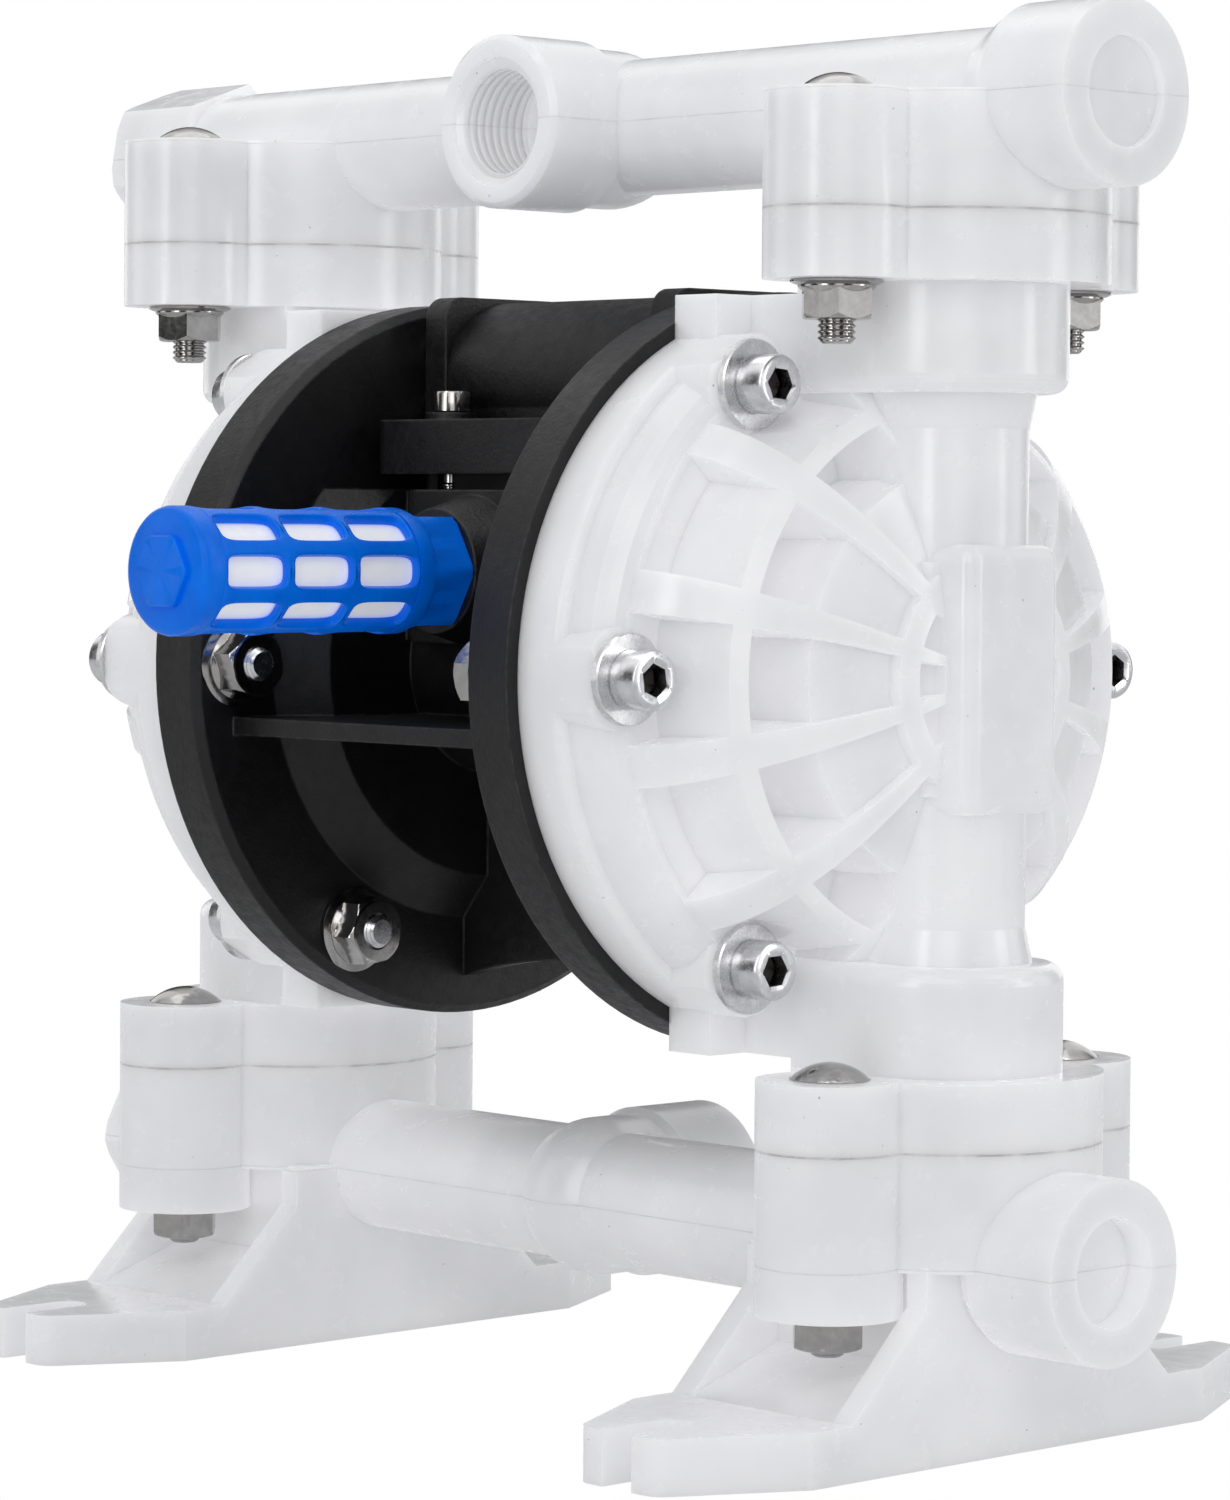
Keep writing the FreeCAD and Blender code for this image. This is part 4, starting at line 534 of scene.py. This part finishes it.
def make_piece(name, parts, body, material, replaced, sharp_deg=32, dark_points=0):
    """One mesh from (points in mm about the shaft, faces) parts, welded, with outward normals.

    The last dark_points points of each part get the value "dark" that its steel looks up, to paint shade down in a
    screw's hexagonal hole.
    """
    starts = np.cumsum([0] + [len(points) for points, faces in parts])
    faces = np.concatenate([faces + start for (points, faces), start in zip(parts, starts)])
    points = np.concatenate([points for points, faces in parts]) * mm + np.array((0, 0, shaft_height))
    mesh = bpy.data.meshes.new(name)
    mesh.from_pydata(points.tolist(), [], faces.tolist())
    if dark_points:
        dark = np.concatenate([np.arange(len(points)) >= len(points) - dark_points for points, faces in parts])
        mesh.attributes.new("dark", "FLOAT", "POINT").data.foreach_set("value", dark.astype(np.float32))
    work = bmesh.new()
    work.from_mesh(mesh)
    bmesh.ops.remove_doubles(work, verts=work.verts, dist=1e-7)
    bmesh.ops.dissolve_degenerate(work, edges=work.edges, dist=1e-7)
    bmesh.ops.recalc_face_normals(work, faces=work.faces)
    work.to_mesh(mesh)
    work.free()
    mesh.polygons.foreach_set("use_smooth", np.ones(len(mesh.polygons), bool))
    mesh.set_sharp_from_angle(angle=math.radians(sharp_deg))
    mesh.materials.append(material)
    piece = bpy.data.objects.new(name, mesh)
    bpy.context.scene.collection.objects.link(piece)
    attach(piece, body)
    if replaced:
        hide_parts(*replaced)
    return piece


# Covers

def cover_faces(made):
    """Flat ring face between the sloped rim and the pocket walls of each cover."""
    rows = [(ring_back_x, ring_inner_r), (ring_back_x, ring_outer_r), (ring_face_x - 0.6, ring_outer_r),
            (ring_face_x, ring_outer_r - 0.8), (ring_face_x, ring_inner_r), (ring_back_x, ring_inner_r)]
    for side, direction in (("right", "+x"), ("left", "-x")):
        ring = turned(rows, (0, 0, 0), direction, segments=ring_segments)
        make_piece(side + "_cover_face", [ring], "pump_body", made["clear_plastic"], [])


# Fasteners

def thread_rows(start, length, major_r):
    """Ridges of one pitch each, from start upwards: crest at major_r, root thread_depth below it."""
    root_r = major_r - thread_depth
    rows = []
    for index in range(int(length / thread_pitch)):
        height = start + index * thread_pitch
        rows += [(height, root_r), (height + 0.12 * thread_pitch, root_r),
                 (height + 0.50 * thread_pitch, major_r), (height + 0.62 * thread_pitch, major_r)]
    return rows + [(start + length, root_r)]


def socket_screw(length, shank_r, head_r, head_height, flats, depth):
    """Socket head screw: screwed shank, head with rounded edges and a hexagonal hole."""
    corner = flats / math.sqrt(3)
    rows = [(-length, 0), (-length, shank_r - 0.8)]
    rows += thread_rows(-length + 0.4, min(screw_thread_length, length - 2), shank_r)
    rows += [(0, shank_r - thread_depth), (0, head_r - 0.3), (0.3, head_r),
             (head_height - 0.7, head_r), (head_height - 0.2, head_r - 0.22),
             (head_height, head_r - 0.7), (head_height, corner + 0.35),
             (head_height - 0.3, corner, flats), (head_height - depth, corner, flats),
             (head_height - depth - 0.5, flats * 0.25), (head_height - depth - 0.6, 0)]
    return rows


def flange_nut(bore_r):
    """Hexagon nut that flares out to a thin round flange at its seat."""
    height = flange_nut_height
    corner = nut_flats / math.sqrt(3)
    return [(0, bore_r), (0, 7.6), (0.2, 7.8), (0.5, 7.75), (0.8, 7.1),
            *((1.0 + 0.09 * step, corner, nut_flats, 6.75 - 0.09 * step) for step in range(14)),
            *((height - 0.8 + 0.1 * step, corner - 0.11 * step, nut_flats) for step in range(8)),
            (height, nut_flats / 2 - 0.3),
            (height, bore_r + 0.4), (height - 0.4, bore_r), (0, bore_r)]


def plain_nut(bore_r):
    """Hexagon nut with both ends chamfered."""
    height = plain_nut_height
    corner = nut_flats / math.sqrt(3)
    return [(0, bore_r), (0, nut_flats / 2 - 0.2), (0.3, corner - 0.6, nut_flats),
            (0.9, corner, nut_flats), (height - 0.9, corner, nut_flats),
            (height - 0.3, corner - 0.6, nut_flats), (height, nut_flats / 2 - 0.3),
            (height, bore_r + 0.4), (height - 0.4, bore_r), (0, bore_r)]


def dome_bolt(length):
    """Carriage bolt: cap radius R = (r^2 + h^2) / (2 h) over a thin rim, screwed shank below."""
    cap_r = (dome_head_r ** 2 + dome_head_height ** 2) / (2 * dome_head_height)
    steps = 12
    rows = [(-length, 0), (-length, bolt_r - 0.9), (-length + 0.35, bolt_r - thread_depth)]
    rows += thread_rows(-length + 0.35, bolt_thread_length, bolt_r)
    rows += [(0, bolt_r - thread_depth), (0, dome_head_r - 0.35), (0.15, dome_head_r)]
    for step in range(1, steps + 1):
        radius = dome_head_r * math.cos(math.pi / 2 * step / steps)
        rows.append((dome_head_height - cap_r + math.sqrt(cap_r ** 2 - radius ** 2), max(radius, 0.0)))
    return rows


def washer():
    """Flat washer with both outer edges broken."""
    edge = 0.25
    return [(0, washer_bore_r), (0, washer_r - edge), (edge, washer_r), (washer_thickness - edge, washer_r),
            (washer_thickness, washer_r - edge), (washer_thickness, washer_bore_r), (0, washer_bore_r)]


def on_circle(angle_deg):
    """Y and Z of a cover screw, 0 degrees towards -Y."""
    angle = math.radians(angle_deg)
    return -screw_circle_r * math.cos(angle), screw_circle_r * math.sin(angle)


def cover_fasteners(made):
    """Socket head screws, washers and flange nuts of both covers."""
    for sign, side, outwards, inwards in ((1, "right", "+x", "-x"), (-1, "left", "-x", "+x")):
        screws, washers, nuts = [], [], []
        for index, angle in enumerate(screw_angles):
            y, z = on_circle(angle)
            length = long_screw_length if angle in nut_angles else short_screw_length
            turn = math.radians(17.0 * index + 8.0)
            rows = socket_screw(length, screw_r, screw_head_r, screw_head_height, screw_socket_flats,
                                screw_socket_depth)
            screws.append(turned(rows, (sign * screw_head_seat_x, y, z), outwards, turn, screw_segments))
            washers.append(turned(washer(), (sign * screw_seat_x, y, z), outwards))
            if angle in nut_angles:
                place = (sign * disc_inner_x, y, z)
                nuts.append(turned(flange_nut(screw_r), place, inwards, 1.7 * turn, nut_segments))
        make_piece(side + "_screws", screws, "pump_body", made["screw_steel"],
                   [side + "_cover_screws"], dark_points=socket_rows * screw_segments)
        make_piece(side + "_washers", washers, "pump_body", made["washer_steel"],
                   [side + "_cover_washers"])
        make_piece(side + "_nuts", nuts, "pump_body", made["bolt_steel"],
                   [side + "_cover_nuts"], nut_sharp_deg)


def flange_fasteners(made):
    """Carriage bolts and nuts that join the manifolds to the covers."""
    places = [(x, y) for x in (-column_x, column_x) for y in (-bolt_y, bolt_y)]
    outlet_length = outlet_head_z - outlet_nut_z + flange_nut_height + outlet_past_nut
    inlet_length = inlet_head_z - inlet_nut_z + plain_nut_height + inlet_past_nut
    groups = {
        "outlet_flange_bolts": (dome_bolt(outlet_length), outlet_head_z, "+z"),
        "inlet_flange_bolts": (dome_bolt(inlet_length), inlet_head_z, "+z"),
        "outlet_flange_nuts": (flange_nut(bolt_r), outlet_nut_z, "-z"),
        "inlet_flange_nuts": (plain_nut(bolt_r), inlet_nut_z, "-z"),
    }
    for node, (rows, z, direction) in groups.items():
        parts = [turned(rows, (x, y, z), direction, nut_turn, nut_segments) for x, y in places]
        make_piece(node.replace("flange_", ""), parts, "pump_body", made["bolt_steel"], [node],
                   nut_sharp_deg)


def valve_fasteners(made):
    """Socket head screws that hold the air valve down."""
    rows = socket_screw(valve_screw_length, valve_screw_r, valve_head_r, valve_head_height, valve_socket_flats,
                        valve_socket_depth)
    parts = [turned(rows, (x, y, valve_screw_z), "+z", valve_screw_turn, valve_screw_segments)
             for x in (-valve_screw_x, valve_screw_x) for y in (-valve_screw_y, valve_screw_y)]
    make_piece("valve_screws", parts, "pump_body", made["bolt_steel"], ["air_valve_screws"],
               dark_points=socket_rows * valve_screw_segments)


# Muffler

def window_cell(middle_deg, start):
    """Rectangle round one window, on the cylinder: the window edge is |a/w|^5 + |b/l|^5 = 1."""
    half_arc = muffler_r * math.pi / window_rows
    half_pitch = window_pitch / 2
    window_half = muffler_r * math.radians(window_half_deg)
    share = np.arange(window_points) / window_points * 2 - 1
    ones = np.ones(window_points)
    outer = np.concatenate([
        np.stack([share * half_arc, -half_pitch * ones], 1), np.stack([half_arc * ones, share * half_pitch], 1),
        np.stack([-share * half_arc, half_pitch * ones], 1), np.stack([-half_arc * ones, -share * half_pitch], 1)])
    reach = np.abs(outer / np.array((window_half, window_length / 2))) ** 5
    inner = outer / (reach.sum(1) ** 0.2)[:, None]
    rings = [inner + (outer - inner) * part for part in (0.0, 0.5, 1.0)]
    flat = np.concatenate(rings)
    angle = math.radians(middle_deg) + flat[:, 0] / muffler_r
    middle_y = muffler_end_y + start + window_length / 2
    points = np.stack([muffler_r * np.cos(angle), middle_y + flat[:, 1], muffler_z + muffler_r * np.sin(angle)], 1)
    return points, grid_faces(len(rings), len(outer))


def muffler_cage(made):
    """Sheet of windows round the cylinder, with a wall of its own thickness and rounded edges."""
    cells = [window_cell(360 / window_rows * row, window_first + column * window_pitch)
             for row in range(window_rows) for column in range(window_columns)]
    cage = make_piece("muffler_windows", cells, "pump_body", made["blue_plastic"],
                      ["muffler_cage"], cage_sharp_deg)
    face = cage.data.polygons[0]
    axis = Vector((0, 0, shaft_height + muffler_z * mm))
    if face.normal.dot(face.center - axis) < 0:    # an open sheet has no outside of its own
        cage.data.flip_normals()
    thick = cage.modifiers.new("wall", "SOLIDIFY")
    thick.thickness = muffler_wall * mm
    thick.offset = -1
    soft = cage.modifiers.new("edges", "BEVEL")
    soft.width = muffler_edge * mm
    soft.segments = 3
    soft.limit_method = "ANGLE"
    soft.angle_limit = math.radians(cage_sharp_deg)


def muffler_ends(made):
    """Closed far end with a raised hexagon, and at the near end a hexagon with a screwed neck."""
    inner_r = muffler_r - muffler_wall
    first = window_first - (window_pitch - window_length) / 2
    last = first + window_columns * window_pitch
    cap = [(0, 0), (0, muffler_r - 1.3), (0.25, muffler_r - 0.6), (0.8, muffler_r - 0.15), (1.4, muffler_r),
           (first, muffler_r), (first, inner_r), (muffler_cap_depth, inner_r), (muffler_cap_depth, 0)]
    lug = [(-1.2, 0), (-1.2, 6.2, 11.4), (-0.9, 6.6, 12.0), (0.1, 6.9, 12.0), (0.1, 0)]
    corner = muffler_hex_flats / math.sqrt(3)
    start, end = muffler_hex_start, muffler_hex_end
    neck_end = end + muffler_neck_length
    neck = [(last, inner_r), (last, muffler_r), (start - 1.6, muffler_r), (start - 0.5, corner - 0.35),
            (start + 0.6, corner, muffler_hex_flats), (end - 0.5, corner, muffler_hex_flats),
            (end, corner - 0.5, muffler_hex_flats), (end, muffler_neck_r), (neck_end, muffler_neck_r),
            (neck_end, muffler_neck_bore_r), (start - 3, muffler_neck_bore_r), (start - 3, inner_r),
            (last, inner_r)]
    place = (0, muffler_end_y, muffler_z)
    parts = [turned(rows, place, "+y", turn, muffler_segments)
             for rows, turn in ((cap, 0), (lug, math.pi / 6), (neck, math.pi / 6))]
    make_piece("muffler_ends", parts, "pump_body", made["blue_plastic"], [], ends_sharp_deg)


mottle_nodes = mottle_group()
finishes = finish_nodes()
cover_faces(finishes)
cover_fasteners(finishes)
flange_fasteners(finishes)
valve_fasteners(finishes)
muffler_cage(finishes)
muffler_ends(finishes)
place_camera()
studio()
floor()
